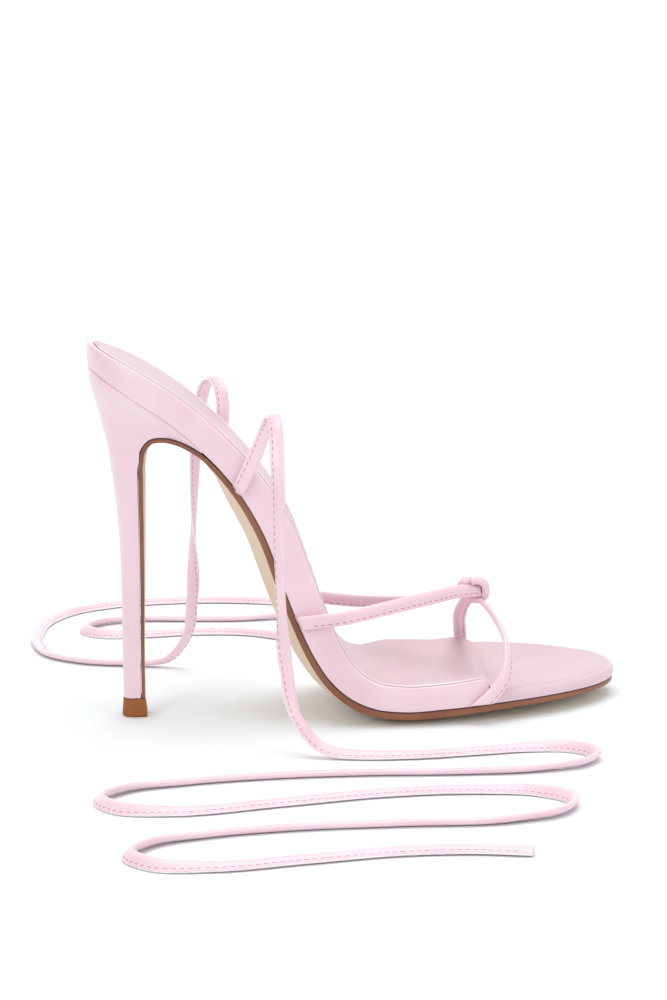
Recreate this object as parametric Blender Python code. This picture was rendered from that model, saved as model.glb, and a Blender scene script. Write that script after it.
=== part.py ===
"""High-heeled sandal for a right foot, with thin toe straps, a knot and two long ankle ties.

Frame: X runs from the heel to the toe, Y from the outer side of the foot to the inner side, and Z up
from the floor. The origin lies on the floor under the middle of the shoe. Sizes here are millimetres,
and the meshes are made in metres.

Two side profiles carry the shoe. LAST is the seam under the footbed, from the back of the heel to the
toe. BREAST is the line on which the sole leaves that seam, runs over the arch and goes down the front
of the heel. Every piece is lofted through sections that stand square on one of the two.
"""

import math
from collections import namedtuple

import bmesh
import bpy
import numpy as np

MM = 0.001
GAP = 0.3                   # air between two pieces that touch on the real shoe

# Seam under the footbed, seen from the side, with what stands on it and hangs below it there:
# half: half the width of the foot's outline, middle: how far its middle lies to the inner side,
# wall: height of the side wall, dish: depth of the footbed's hollow, crown: how far the underside bulges
Last = namedtuple("Last", "x z half middle wall dish crown sole")
LAST = (
    Last(x=-93.6, z=128.7, half=26.2, middle=0.0, wall=9.1, dish=2.0, crown=0.0, sole=1.5),
    Last(x=-78.0, z=118.2, half=26.4, middle=0.0, wall=9.8, dish=2.0, crown=0.0, sole=1.5),
    Last(x=-64.1, z=108.1, half=26.0, middle=-0.2, wall=9.3, dish=1.8, crown=0.0, sole=1.5),
    Last(x=-54.4, z=98.9, half=25.0, middle=-0.5, wall=9.2, dish=1.6, crown=0.0, sole=1.6),
    Last(x=-48.2, z=92.1, half=24.3, middle=-0.7, wall=9.2, dish=1.5, crown=1.8, sole=1.8),
    Last(x=-41.0, z=82.3, half=23.4, middle=-0.9, wall=9.6, dish=1.5, crown=4.2, sole=1.9),
    Last(x=-34.0, z=69.0, half=23.0, middle=-1.0, wall=10.4, dish=1.5, crown=4.6, sole=2.0),
    Last(x=-26.7, z=47.3, half=24.2, middle=-0.9, wall=10.8, dish=1.8, crown=4.6, sole=2.0),
    Last(x=-22.3, z=35.2, half=26.2, middle=-0.7, wall=10.6, dish=2.2, crown=4.6, sole=2.0),
    Last(x=-17.6, z=24.6, half=28.8, middle=-0.5, wall=10.0, dish=2.6, crown=4.5, sole=2.1),
    Last(x=-12.7, z=16.8, half=31.1, middle=-0.3, wall=9.6, dish=2.9, crown=4.2, sole=2.2),
    Last(x=-6.0, z=10.6, half=33.5, middle=-0.1, wall=9.2, dish=3.2, crown=3.6, sole=2.4),
    Last(x=2.0, z=6.9, half=35.5, middle=0.0, wall=8.9, dish=3.4, crown=3.5, sole=2.6),
    Last(x=12.0, z=5.5, half=36.9, middle=0.0, wall=8.6, dish=3.5, crown=3.3, sole=2.6),
    Last(x=28.0, z=6.0, half=37.5, middle=0.0, wall=8.4, dish=3.8, crown=3.5, sole=2.6),
    Last(x=46.0, z=6.9, half=37.5, middle=0.9, wall=8.8, dish=4.4, crown=2.6, sole=2.4),
    Last(x=70.0, z=7.2, half=37.5, middle=2.9, wall=4.3, dish=0.4, crown=2.2, sole=2.0),
    Last(x=93.5, z=6.8, half=37.5, middle=4.7, wall=4.2, dish=0.3, crown=1.2, sole=1.5),
)

# Front of the heel, from its tip up to the thin edge under the footbed, with the heel's back beside it:
# half: half the heel's width at its front, crown: bulge of the piece above the sole,
# belly: how much more the sole's own face bulges there
Front = namedtuple("Front", "x z half middle back_x back_z crown belly sole")
BREAST = (
    Front(x=-79.9, z=7.0, half=4.3, middle=0, back_x=-86.1, back_z=7.0, crown=0, belly=0.2, sole=1.2),
    Front(x=-79.4, z=26.0, half=4.9, middle=0, back_x=-85.8, back_z=26.0, crown=0, belly=0.3, sole=1.2),
    Front(x=-78.6, z=48.0, half=6.0, middle=0, back_x=-85.2, back_z=48.6, crown=0, belly=0.5, sole=1.3),
    Front(x=-78.0, z=70.0, half=7.8, middle=0, back_x=-85.4, back_z=71.5, crown=0, belly=0.8, sole=1.4),
    Front(x=-77.6, z=86.0, half=10.8, middle=0, back_x=-86.9, back_z=90.0, crown=0, belly=1.0, sole=1.5),
    Front(x=-77.2, z=94.0, half=13.0, middle=0, back_x=-88.3, back_z=101.5, crown=0, belly=1.1, sole=1.5),
    Front(x=-75.8, z=99.6, half=15.4, middle=0, back_x=-90.0, back_z=108.8, crown=0, belly=1.2, sole=1.5),
    Front(x=-72.6, z=103.0, half=17.8, middle=0, back_x=-91.2, back_z=114.0, crown=0, belly=1.2, sole=1.5),
    Front(x=-68.0, z=103.9, half=20.4, middle=-0.1, back_x=-92.3, back_z=118.4, crown=0, belly=1.2, sole=1.5),
    Front(x=-63.0, z=103.0, half=22.8, middle=-0.2, back_x=-93.3, back_z=122.8, crown=0, belly=1.1, sole=1.5),
    Front(x=-57.6, z=100.5, half=24.6, middle=-0.4, back_x=-93.6, back_z=127.1, crown=0, belly=1.0, sole=1.5),
    Front(x=-54.2, z=98.2, half=25, middle=-0.5, back_x=-93.6, back_z=128.1, crown=0.2, belly=0.8, sole=1.6),
    Front(x=-48.2, z=92.1, half=24.3, middle=-0.7, back_x=-93.6, back_z=128.1, crown=1.8, belly=0, sole=1.8),
)
HEEL_TOP_X = -57.6          # the heel's solid ends here in a thin edge
ARCH_START_Z = 80.0         # the heel's front begins to turn into the arch here

HEEL_ROUND = 24.0           # length of the outline's round end at the heel, along the seam
TOE_ROUND_X = 30.0          # the toe's outline is half an ellipse from here to its tip
TOE_TIP_X = 93.5
RIM_FRONT_X = 45.0          # the footbed's wall ends here and the open forepart begins

SHELL_STEP = 6.0            # length between two sections of the footbed and the sole
ROUND_STEPS = 7             # sections in a round end
WALL_BULGE = 0.4            # how far the leather of the wall stands out over the seam
RIM = 2.2                   # width of the wall's top beside the sock
RIM_STEP = 1.3              # the bed of the sock lies this much lower than the rim
SOCK = 1.9                  # thickness of the padded sock
EDGE_INSET = 0.3            # the sole's edge lies this far inside the wall

TIP_TOP = 6.7               # heel tip, height
TIP_BACK_X = -86.9          # heel tip on the floor, back and front
TIP_FRONT_X = -77.8
TIP_HALF = 4.9
TIP_WAIST = 0.55            # how much smaller all round the tip is at its top

STRAP_WIDTH = 4.9
STRAP_THICK = 2.2
STRAP_SIDES = 10
TIE_DIAMETER = 3.6          # round cord with the section area of the real flat tie
TIE_POINTS = 78
KNOT_MIDDLE = (43.0, 40.3)  # the knot's core, along and up, and how far it reaches each way
KNOT_REACH = (3.9, 3.2, 3.4)

PINK = (0.87, 0.66, 0.73)
SOLE_BROWN = (0.30, 0.13, 0.07)
TIP_CARAMEL = (0.32, 0.12, 0.03)


def smooth(knots, values, at):
    """Cubic curve through the values at the knots, with its slope taken from the neighbours."""
    slopes = np.gradient(values, knots)
    left = np.clip(np.searchsorted(knots, at) - 1, 0, len(knots) - 2)
    span = knots[left + 1] - knots[left]
    t = (at - knots[left]) / span
    start = (1 + 2 * t) * (1 - t) ** 2 * values[left] + t * (1 - t) ** 2 * span * slopes[left]
    end = t * t * (3 - 2 * t) * values[left + 1] + t * t * (t - 1) * span * slopes[left + 1]
    return start + end


class Profile:
    """A side profile with its columns, read at any length along it."""

    def __init__(self, rows):
        self.rows = rows
        x = np.array([row.x for row in rows])
        z = np.array([row.z for row in rows])
        self.knots = np.concatenate(([0.0], np.cumsum(np.hypot(np.diff(x), np.diff(z)))))
        self.length = float(self.knots[-1])

    def column(self, name, s):
        values = np.array([getattr(row, name) for row in self.rows])
        return float(smooth(self.knots, values, np.array(s)))

    def at(self, s):
        return type(self.rows[0])(*(self.column(name, s) for name in self.rows[0]._fields))

    def at_x(self, x):
        """Length along a profile that runs towards the toe, where it passes x."""
        low, high = 0.0, self.length
        for _ in range(40):
            half_way = (low + high) / 2
            if self.column("x", half_way) < x:
                low = half_way
            else:
                high = half_way
        return low

    def up(self, s):
        """Direction in the XZ plane that stands square on the profile, towards the foot."""
        step = 0.4
        before = max(0.0, s - step)
        after = min(self.length, s + step)
        dx = self.column("x", after) - self.column("x", before)
        dz = self.column("z", after) - self.column("z", before)
        size = math.hypot(dx, dz)
        return -dz / size, dx / size


last = Profile(LAST)
breast = Profile(BREAST)


def last_up(s):
    """Up direction of the last: square on the seam, but upright at the very back of the heel."""
    square_x, square_z = last.up(s)
    share = min(1.0, s / (2 * HEEL_ROUND))
    share = share * share * (3 - 2 * share)
    size = math.hypot(square_x * share, square_z)
    return square_x * share / size, square_z / size


def outline(s, inset=0.0):
    """Half width of the foot's outline at s, with both ends rounded as ellipses."""
    row = last.at(s)
    half = row.half - inset
    if s < HEEL_ROUND:
        share = (HEEL_ROUND - s) / (HEEL_ROUND - inset)
        return half * math.sqrt(max(0.0, 1 - share * share))
    if row.x > TOE_ROUND_X:
        share = (row.x - TOE_ROUND_X) / (TOE_TIP_X - TOE_ROUND_X - inset)
        return half * math.sqrt(max(0.0, 1 - share * share))
    return half


def on_last(s, y, v):
    """Point at height v over the seam and y across it, seen from the middle of the outline."""
    row = last.at(s)
    up_x, up_z = last_up(s)
    return row.x + v * up_x, row.middle + y, row.z + v * up_z


def on_breast(s, y, v):
    row = breast.at(s)
    up_x, up_z = breast.up(s)
    return row.x + v * up_x, row.middle + y, row.z + v * up_z


def stations(start, end, inset=0.0):
    """Lengths along the last from start to end, closer together where the outline turns round."""
    tip = last.at_x(TOE_TIP_X) - inset
    turn = last.at_x(TOE_ROUND_X)
    marks = []
    for k in range(1, ROUND_STEPS + 1):
        marks.append(HEEL_ROUND - (HEEL_ROUND - inset) * math.cos(k / ROUND_STEPS * math.pi / 2))
    marks.insert(0, inset + 0.1)
    count = round((turn - HEEL_ROUND) / SHELL_STEP)
    marks += [HEEL_ROUND + (turn - HEEL_ROUND) * k / count for k in range(1, count + 1)]
    toe_steps = 2 * ROUND_STEPS
    marks += [turn + (tip - turn) * math.sin(k / toe_steps * math.pi / 2) for k in range(1, toe_steps)]
    marks.append(tip - 0.05)
    inside = [s for s in marks if start + 0.8 < s < end - 0.8]
    return [start] + inside + [end]


def skin(loops, closed=False):
    """Mesh with a skin from loop to loop, all of the same number of points, and the loops' rings of points.

    With closed the skin also runs from the last loop back to the first.
    """
    mesh = bmesh.new()
    rings = [[mesh.verts.new([c * MM for c in point]) for point in loop] for loop in loops]
    size = len(rings[0])
    after = rings[1:] + rings[:1] if closed else rings[1:]
    for ring, following in zip(rings, after):
        for k in range(size):
            nxt = (k + 1) % size
            mesh.faces.new((ring[k], ring[nxt], following[nxt], following[k]))
    return mesh, rings


def loft(name, loops, material):
    """Closed solid through loops of points, with one flat face over each end."""
    mesh, rings = skin(loops)
    mesh.faces.new(list(reversed(rings[0])))
    mesh.faces.new(rings[-1])
    return finish_mesh(name, mesh, material)


def finish_mesh(name, mesh, material):
    bmesh.ops.recalc_face_normals(mesh, faces=mesh.faces)
    data = bpy.data.meshes.new(name)
    mesh.to_mesh(data)
    mesh.free()
    thing = bpy.data.objects.new(name, data)
    data.materials.append(material)
    parts.objects.link(thing)
    return thing


def boolean(target, other, operation):
    """Join or cut target with other, which is removed."""
    modifier = target.modifiers.new("shape", "BOOLEAN")
    modifier.operation = operation
    modifier.object = other
    depsgraph = bpy.context.evaluated_depsgraph_get()
    result = bpy.data.meshes.new_from_object(target.evaluated_get(depsgraph))
    target.modifiers.clear()
    target.data = result
    bpy.data.objects.remove(other)


def principled(name, colour, roughness):
    material = bpy.data.materials.new(name)
    material.use_nodes = True
    shader = material.node_tree.nodes["Principled BSDF"]
    shader.inputs["Base Color"].default_value = (*colour, 1.0)
    shader.inputs["Roughness"].default_value = roughness
    shader.inputs["Metallic"].default_value = 0.0
    return material


def across(half, reach, count=7):
    """Places from -reach to reach, as pairs of y and the share of the full crown there."""
    places = [reach * (-1 + 2 * k / (count - 1)) for k in range(count)]
    return [(y, 1 - (y / half) ** 2) for y in places]


def footbed_loop(s):
    """Section of the footbed: crowned underside, side walls with a slight bulge, flat top."""
    row = last.at(s)
    half = outline(s)
    belly = [on_last(s, y, -row.crown * share) for y, share in across(half, half)]
    corner = min(1.4, half / 3)
    side = (
        (half + WALL_BULGE * 0.8, 0.3 * row.wall),
        (half + WALL_BULGE, 0.55 * row.wall),
        (half + WALL_BULGE * 0.4, 0.8 * row.wall),
        (half - corner * 0.4, row.wall - 0.35),
        (half - corner, row.wall),
    )
    right = [on_last(s, y, v) for y, v in side]
    left = [on_last(s, -y, v) for y, v in reversed(side)]
    return belly + right + left


def bed_height(row, share):
    """Height of the sock's bed over the seam, from its edge (share 1) to the middle (share 0)."""
    return row.wall - RIM_STEP - row.dish * (1 - abs(share) ** 3)


def bed_cutter_loop(s, inset, above=4.0):
    """Section of the hollow that the sock lies in, open at the top."""
    row = last.at(s)
    half = outline(s, inset)
    shares = [-1 + 2 * k / 8 for k in range(9)]
    bed = [on_last(s, half * share, bed_height(row, share)) for share in shares]
    return bed + [on_last(s, half, row.wall + above), on_last(s, -half, row.wall + above)]


def sock_loop(s, inset):
    """Section of the sock: its underside follows the bed, its top edge is rounded."""
    row = last.at(s)
    half = outline(s, inset)
    shares = [-1 + 2 * k / 8 for k in range(9)]
    under = [on_last(s, half * share, bed_height(row, share) + GAP) for share in shares]
    top = []
    for share in reversed(shares):
        round_off = 0.5 if abs(share) == 1 else 0.0
        top.append(on_last(s, half * share, bed_height(row, share) + GAP + SOCK - round_off))
    return under + top


def toe_insole_loop(s):
    """Section of the open forepart: thin board with a rounded wrapped edge."""
    row = last.at(s)
    half = outline(s)
    wall = LAST[-2].wall
    belly = [on_last(s, y, -row.crown * share) for y, share in across(half, half)]
    corner = min(2.0, half / 3)
    side = (
        (half + WALL_BULGE * 0.5, 0.4 * wall),
        (half, 0.75 * wall),
        (half - corner * 0.45, 0.94 * wall),
        (half - corner * 1.2, wall),
    )
    right = [on_last(s, y, v) for y, v in side]
    left = [on_last(s, -y, v) for y, v in reversed(side)]
    return belly + right + left


def sole_loop(place, s, half, crown, belly, sole):
    """Section of the sole: it follows the piece above it and is worn flat where it meets the floor."""
    edge = max(0.6, half - EDGE_INSET)
    top = [place(s, y, -GAP - crown * share) for y, share in across(half, edge)]
    middle = edge + 0.1
    bottom_edge = edge - 0.25
    under = []
    for y, share in reversed(across(half, bottom_edge)):
        under.append(place(s, y, -GAP - sole - (crown + belly) * share))
    right = [place(s, middle, -GAP - sole * 0.55)]
    left = [place(s, -middle, -GAP - sole * 0.55)]
    loop = top + right + under + left
    return [(x, y, max(0.0, z)) for x, y, z in loop]


def breast_stations():
    """Lengths along the heel's front, from its tip to the thin edge, closer over the arch."""
    marks = []
    for k, row in enumerate(BREAST[:-1]):
        start, end = breast.knots[k], breast.knots[k + 1]
        steps = 2 if row.z < ARCH_START_Z else 3
        if row is BREAST[-2]:
            steps = 1
        marks += [start + (end - start) * j / steps for j in range(steps)]
    return marks


def half_round(t, turn):
    """Half width along a section's length, as a share: a rounded back, then full width."""
    if t >= turn:
        return 1.0
    return math.sqrt(max(0.0, 1 - (1 - t / turn) ** 2))


HEEL_SHARES = [1 - math.cos(k / 9 * math.pi / 2) for k in range(1, 9)] + [1.0]


def heel_loop(s):
    """Section of the heel, on the plane through its front and back line at s."""
    row = breast.at(s)
    right = []
    left = []
    for t in HEEL_SHARES:
        x = row.back_x + (row.x - row.back_x) * t
        z = row.back_z + (row.z - row.back_z) * t
        half = row.half * half_round(t, 0.6)
        right.append((x, row.middle * t + half, z))
        left.append((x, row.middle * t - half, z))
    return [(row.back_x, 0.0, row.back_z)] + right + left[::-1]


def seat_loop():
    """Top of the heel: the footbed's own outline, just below its seam."""
    front = last.at_x(HEEL_TOP_X + 0.5)
    right = []
    left = []
    for t in HEEL_SHARES:
        s = front * t
        half = outline(s)
        right.append(on_last(s, half, -GAP))
        left.append(on_last(s, -half, -GAP))
    return [on_last(0.0, 0.0, -GAP)] + right + left[::-1]


def heel(material):
    """Covered heel: a loft from the tip to the seat, closed by strips from side to side."""
    end = 0.0
    for k, row in enumerate(BREAST):
        if row.x <= HEEL_TOP_X:
            end = breast.knots[k]
    marks = [s for s in breast_stations() if s < end + 0.01]
    mesh, rings = skin([heel_loop(s) for s in marks] + [seat_loop()])
    for ring in (rings[0], rings[-1]):
        mesh.faces.new((ring[0], ring[1], ring[-1]))
        for k in range(1, len(ring) // 2):
            mesh.faces.new((ring[k], ring[k + 1], ring[-k - 1], ring[-k]))
    return finish_mesh("heel", mesh, material)


def top_piece(material):
    """Tip of the heel: a short D-shaped block that widens to the floor."""
    levels = ((0.0, 0.35), (0.5, 0.0), (2.2, 0.1), (4.4, TIP_WAIST * 0.8), (TIP_TOP, TIP_WAIST))
    loops = []
    for z, inset in levels:
        back = TIP_BACK_X + inset
        front = TIP_FRONT_X - inset
        right = []
        left = []
        for t in HEEL_SHARES:
            half = (TIP_HALF - inset) * half_round(t, 0.6)
            right.append((back + (front - back) * t, half, z))
            left.append((back + (front - back) * t, -half, z))
        loops.append([(back, 0.0, z)] + right + left[::-1])
    return loft("top_piece", loops, material)


def footbed(material):
    rim_front = last.at_x(RIM_FRONT_X)
    body = loft("footbed", [footbed_loop(s) for s in stations(0.1, rim_front)], material)
    inset = RIM - GAP
    marks = stations(inset + 0.1, rim_front + 3, inset)
    cutter = loft("bed", [bed_cutter_loop(s, inset) for s in marks], material)
    boolean(body, cutter, "DIFFERENCE")
    return body


def sock(material):
    marks = stations(RIM + 0.1, last.at_x(RIM_FRONT_X) - 0.4, RIM)
    return loft("sock", [sock_loop(s, RIM) for s in marks], material)


def toe_insole(material):
    tip = last.at_x(TOE_TIP_X)
    start = last.at_x(RIM_FRONT_X) + GAP
    return loft("toe_insole", [toe_insole_loop(s) for s in stations(start, tip - 0.05)], material)


def outsole(material):
    """One strip of leather: down the heel's front, over the arch and along the foot to the toe."""
    loops = []
    for s in breast_stations():
        row = breast.at(s)
        loops.append(sole_loop(on_breast, s, row.half, row.crown, row.belly, row.sole))
    start = breast.rows[-1].x
    tip = last.at_x(TOE_TIP_X)
    for s in stations(last.at_x(start), tip - 0.05):
        row = last.at(s)
        loops.append(sole_loop(on_last, s, outline(s), row.crown, 0.0, row.sole))
    return loft("outsole", loops, material)


def curve_through(points, count, lead=0):
    """Smooth curve through hand-chosen points, read at even lengths, without lead points at either end."""
    route = np.array(points, dtype=float)
    knots = np.concatenate(([0.0], np.cumsum(np.linalg.norm(np.diff(route, axis=0), axis=1))))
    fine = np.linspace(knots[lead], knots[-1 - lead], 40 * count)
    dense = np.stack([smooth(knots, route[:, axis], fine) for axis in range(route.shape[1])], axis=1)
    steps = np.linalg.norm(np.diff(dense[:, :3], axis=0), axis=1)
    lengths = np.concatenate(([0.0], np.cumsum(steps)))
    even = np.linspace(0, lengths[-1], count)
    return np.stack([np.interp(even, lengths, dense[:, axis]) for axis in range(dense.shape[1])], axis=1)


Bend = namedtuple("Bend", "x y z face_x face_y face_z")


def band(name, bends, material, count, closed=False, width=STRAP_WIDTH, thick=STRAP_THICK):
    """Flat rounded strap along the bends. Each bend names a point and the way the strap faces there."""
    if closed:
        path = curve_through(bends[-2:] + bends + bends[:3], count + 1, lead=2)[:-1]
        places = path[:, :3]
        along = np.roll(places, -1, axis=0) - np.roll(places, 1, axis=0)
    else:
        path = curve_through(bends, count)
        places = path[:, :3]
        along = np.gradient(places, axis=0)
    along /= np.linalg.norm(along, axis=1)[:, None]
    face = path[:, 3:] - along * np.sum(path[:, 3:] * along, axis=1)[:, None]
    face /= np.linalg.norm(face, axis=1)[:, None]
    side = np.cross(along, face)
    loops = []
    for place, across_way, out_way in zip(places, side, face):
        loop = []
        for k in range(STRAP_SIDES):
            angle = 2 * math.pi * k / STRAP_SIDES
            wide = math.copysign(abs(math.cos(angle)) ** 0.6, math.cos(angle)) * width / 2
            deep = math.copysign(abs(math.sin(angle)) ** 0.8, math.sin(angle)) * thick / 2
            loop.append(tuple(place + wide * across_way + deep * out_way))
        loops.append(loop)
    if closed:
        return finish_mesh(name, skin(loops, closed=True)[0], material)
    return loft(name, loops, material)


def wall_out(s, side, thick):
    """Y of a strap's middle where it lies against the wall at s: side -1 is outer, 1 inner."""
    return last.at(s).middle + side * (outline(s) + WALL_BULGE + GAP + thick / 2)


def toe_straps(material):
    """The upper: rear straps and front strap, joined into one solid by the knot's ring and core."""
    rear = last.at_x(-20.2)
    front = last.at_x(38.0)
    outer_rear = wall_out(rear, -1, STRAP_THICK)
    inner_rear = wall_out(rear, 1, STRAP_THICK)
    outer_front = wall_out(front, -1, STRAP_THICK)
    inner_front = wall_out(front, 1, STRAP_THICK)
    rear_outer_bends = (
        Bend(-22.0, outer_rear, 36.6, 0, -1, 0),
        Bend(-16.5, outer_rear - 0.5, 37.6, 0, -1, 0),
        Bend(-8.0, outer_rear - 0.7, 38.6, 0, -1, 0.1),
        Bend(2.0, -27.8, 39.8, 0, -1, 0.15),
        Bend(14.0, -23.4, 41.2, 0, -1, 0.25),
        Bend(26.0, -16.2, 41.9, 0, -1, 0.35),
        Bend(36.0, -8.6, 42.0, 0, -1, 0.45),
        Bend(44.2, -3.4, 41.0, 0, -1, 0.45),
    )
    rear_inner_bends = (
        Bend(-22.0, inner_rear, 36.4, 0, 1, 0),
        Bend(-16.5, inner_rear + 0.5, 35.4, 0, 1, 0),
        Bend(-8.0, inner_rear + 0.9, 33.7, 0, 1, 0.1),
        Bend(2.0, 28.2, 32.6, 0, 1, 0.2),
        Bend(12.0, 24.6, 32.7, 0, 1, 0.4),
        Bend(22.0, 18.6, 33.8, 0, 1, 0.6),
        Bend(32.0, 10.6, 36.4, 0, 1, 0.8),
        Bend(41.5, 2.4, 40.4, 0, 0.8, 1),
    )
    front_bends = (
        Bend(40.4, outer_front, 7.9, 0, -1, 0),
        Bend(44.4, outer_front - 0.4, 12.0, 0, -1, 0),
        Bend(48.2, outer_front + 0.9, 15.9, 0.35, -1, 0.1),
        Bend(50.2, -33.6, 20.2, 1, -0.9, 0.2),
        Bend(50.7, -28.4, 24.2, 1, -0.35, 0.25),
        Bend(50.3, -22.4, 28.4, 1, -0.1, 0.2),
        Bend(48.5, -15.4, 32.6, 1, 0.1, 0.3),
        Bend(46.2, -8.0, 36.0, 0.9, 0, 0.7),
        Bend(43.6, -1.0, 37.4, 0.5, 0, 1),
        Bend(40.9, 5.4, 35.8, 0.2, 0.4, 1),
        Bend(39.6, 11.6, 32.2, 0.1, 0.8, 1),
        Bend(39.4, 18.6, 27.6, 0.1, 0.8, 1),
        Bend(40.0, 26.4, 23.6, 0, 0.9, 1),
        Bend(41.0, 34.2, 20.2, 0, 1, 0.9),
        Bend(41.7, inner_front + 0.3, 15.4, 0, 1, 0.15),
        Bend(42.0, inner_front, 8.8, 0, 1, 0),
    )
    ring_bends = (
        Bend(38.8, -2.2, 43.2, -0.7, -0.2, 0.7),
        Bend(42.6, -2.8, 44.6, 0, -0.2, 1),
        Bend(46.4, -2.4, 43.0, 0.8, -0.1, 0.6),
        Bend(47.2, -0.4, 39.4, 1, 0, -0.2),
        Bend(45.2, 2.4, 36.8, 0.6, 0.3, -0.8),
        Bend(41.0, 3.4, 37.2, -0.3, 0.4, -0.8),
        Bend(38.6, 1.4, 39.8, -1, 0.2, -0.1),
    )
    straps = band("toe_straps", rear_outer_bends, material, 20)
    boolean(straps, band("rear_inner", rear_inner_bends, material, 20), "UNION")
    boolean(straps, band("front", front_bends, material, 32), "UNION")
    boolean(straps, band("ring", ring_bends, material, 26, closed=True, width=4.6, thick=2.4), "UNION")
    core = bmesh.new()
    bmesh.ops.create_uvsphere(core, u_segments=14, v_segments=8, radius=MM)
    middle_x, middle_z = (c * MM for c in KNOT_MIDDLE)
    for vert in core.verts:
        x, y, z = (c * k for c, k in zip(vert.co, KNOT_REACH))
        vert.co = (middle_x + x, y, middle_z + z)
    boolean(straps, finish_mesh("core", core, material), "UNION")
    return straps


# Ankle ties, laid down: each leaves its seam, rises beside the footbed, falls and lies on the floor.
FLOOR = TIE_DIAMETER / 2 + 0.05
TIE_OUTER = (
    (-42.3, -26.9, 85.4), (-38.0, -27.3, 93.4), (-34.4, -28.2, 101.2), (-31.6, -31.6, 108.8),
    (-30.0, -38.6, 112.8), (-29.4, -45.8, 109.6), (-29.4, -50.2, 101.6), (-29.6, -53.4, 88.5),
    (-30.0, -56.2, 70.5), (-30.2, -59.2, 50.0), (-29.4, -63.2, 29.0), (-26.0, -67.8, 11.8),
    (-18.0, -72.6, 3.4), (-5.0, -76.4, FLOOR), (14.0, -78.6, FLOOR), (34.0, -77.4, FLOOR),
    (52.0, -76.4, FLOOR), (65.0, -79.6, FLOOR), (71.5, -88.5, FLOOR), (66.5, -98.5, FLOOR),
    (52.0, -102.0, FLOOR), (28.0, -101.0, FLOOR), (-6.0, -96.5, FLOOR), (-38.0, -95.0, FLOOR),
    (-66.0, -98.0, FLOOR), (-84.0, -103.5, FLOOR), (-92.5, -114.5, FLOOR), (-86.5, -126.5, FLOOR),
    (-70.0, -131.5, FLOOR), (-34.0, -127.0, FLOOR), (0.0, -122.0, FLOOR), (28.0, -123.5, FLOOR),
    (46.0, -129.0, FLOOR), (55.5, -140.0, FLOOR), (50.5, -152.0, FLOOR), (35.0, -157.0, FLOOR),
    (0.0, -155.0, FLOOR), (-34.0, -154.0, FLOOR), (-60.0, -157.5, FLOOR), (-75.0, -163.5, FLOOR),
    (-82.5, -175.0, FLOOR), (-75.0, -186.5, FLOOR), (-58.0, -190.0, FLOOR), (-30.0, -187.0, FLOOR),
    (-2.0, -184.0, FLOOR), (20.0, -186.0, FLOOR), (36.0, -190.5, FLOOR),
)
TIE_INNER = (
    (-48.4, 26.6, 93.6), (-46.4, 27.2, 100.5), (-45.6, 28.6, 107.5), (-46.2, 32.0, 114.2),
    (-48.4, 39.0, 117.6), (-51.4, 46.2, 114.4), (-53.6, 50.2, 106.5), (-55.6, 53.6, 93.0),
    (-57.2, 56.8, 74.0), (-58.4, 60.2, 52.0), (-59.6, 64.0, 29.0), (-63.0, 68.2, 11.5),
    (-71.0, 72.6, 3.2), (-84.0, 77.0, FLOOR), (-103.0, 85.0, FLOOR), (-117.0, 99.0, FLOOR),
    (-123.0, 119.0, FLOOR), (-124.0, 143.0, FLOOR), (-120.0, 166.0, FLOOR), (-109.0, 184.0, FLOOR),
    (-90.0, 194.0, FLOOR), (-64.0, 196.0, FLOOR), (-38.0, 191.0, FLOOR), (-18.0, 181.0, FLOOR),
    (-9.0, 168.5, FLOOR), (-15.0, 156.5, FLOOR), (-34.0, 153.0, FLOOR), (-60.0, 157.0, FLOOR),
    (-82.0, 160.5, FLOOR), (-98.0, 156.0, FLOOR), (-105.0, 144.0, FLOOR), (-98.0, 132.5, FLOOR),
    (-82.0, 129.5, FLOOR), (-58.0, 130.0, FLOOR), (-38.0, 125.0, FLOOR), (-21.0, 111.0, FLOOR),
    (-9.0, 94.0, FLOOR), (4.0, 80.0, FLOOR), (19.0, 71.5, FLOOR), (36.0, 68.6, FLOOR),
    (50.0, 68.3, FLOOR), (59.0, 67.2, FLOOR), (66.2, 63.4, FLOOR), (69.3, 57.0, FLOOR),
    (66.4, 50.6, FLOOR), (59.0, 46.8, FLOOR), (50.0, 45.8, FLOOR), (26.0, 45.4, FLOOR),
    (8.0, 45.8, FLOOR), (-6.0, 47.0, FLOOR),
)


def tie(name, route, material):
    """Free ankle tie: a plain cord along its route."""
    data = bpy.data.curves.new(name, "CURVE")
    data.dimensions = "3D"
    data.bevel_depth = TIE_DIAMETER / 2 * MM
    data.bevel_resolution = 2
    data.use_fill_caps = True
    spline = data.splines.new("POLY")
    path = curve_through(route, TIE_POINTS)
    spline.points.add(TIE_POINTS - 1)
    for point, (x, y, z) in zip(spline.points, path):
        point.co = (x * MM, y * MM, max(FLOOR, z) * MM, 1.0)
    thing = bpy.data.objects.new(name, data)
    data.materials.append(material)
    parts.objects.link(thing)
    return thing


def shade(thing):
    if thing.type == "MESH":
        thing.data.shade_smooth()
        thing.data.set_sharp_from_angle(angle=math.radians(40))


for old in list(bpy.data.objects):
    bpy.data.objects.remove(old)
parts = bpy.data.collections.new("lace_up_heeled_sandal")
bpy.context.scene.collection.children.link(parts)

leather = principled("pink_leather", PINK, 0.42)
sole_leather = principled("sole_leather", SOLE_BROWN, 0.5)
tip_rubber = principled("tip_rubber", TIP_CARAMEL, 0.55)

shade(outsole(sole_leather))
shade(toe_insole(leather))
shade(footbed(leather))
shade(sock(leather))
shade(heel(leather))
shade(top_piece(tip_rubber))
shade(toe_straps(leather))
tie("tie_outer", TIE_OUTER, leather)
tie("tie_inner", TIE_INNER, leather)
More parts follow.
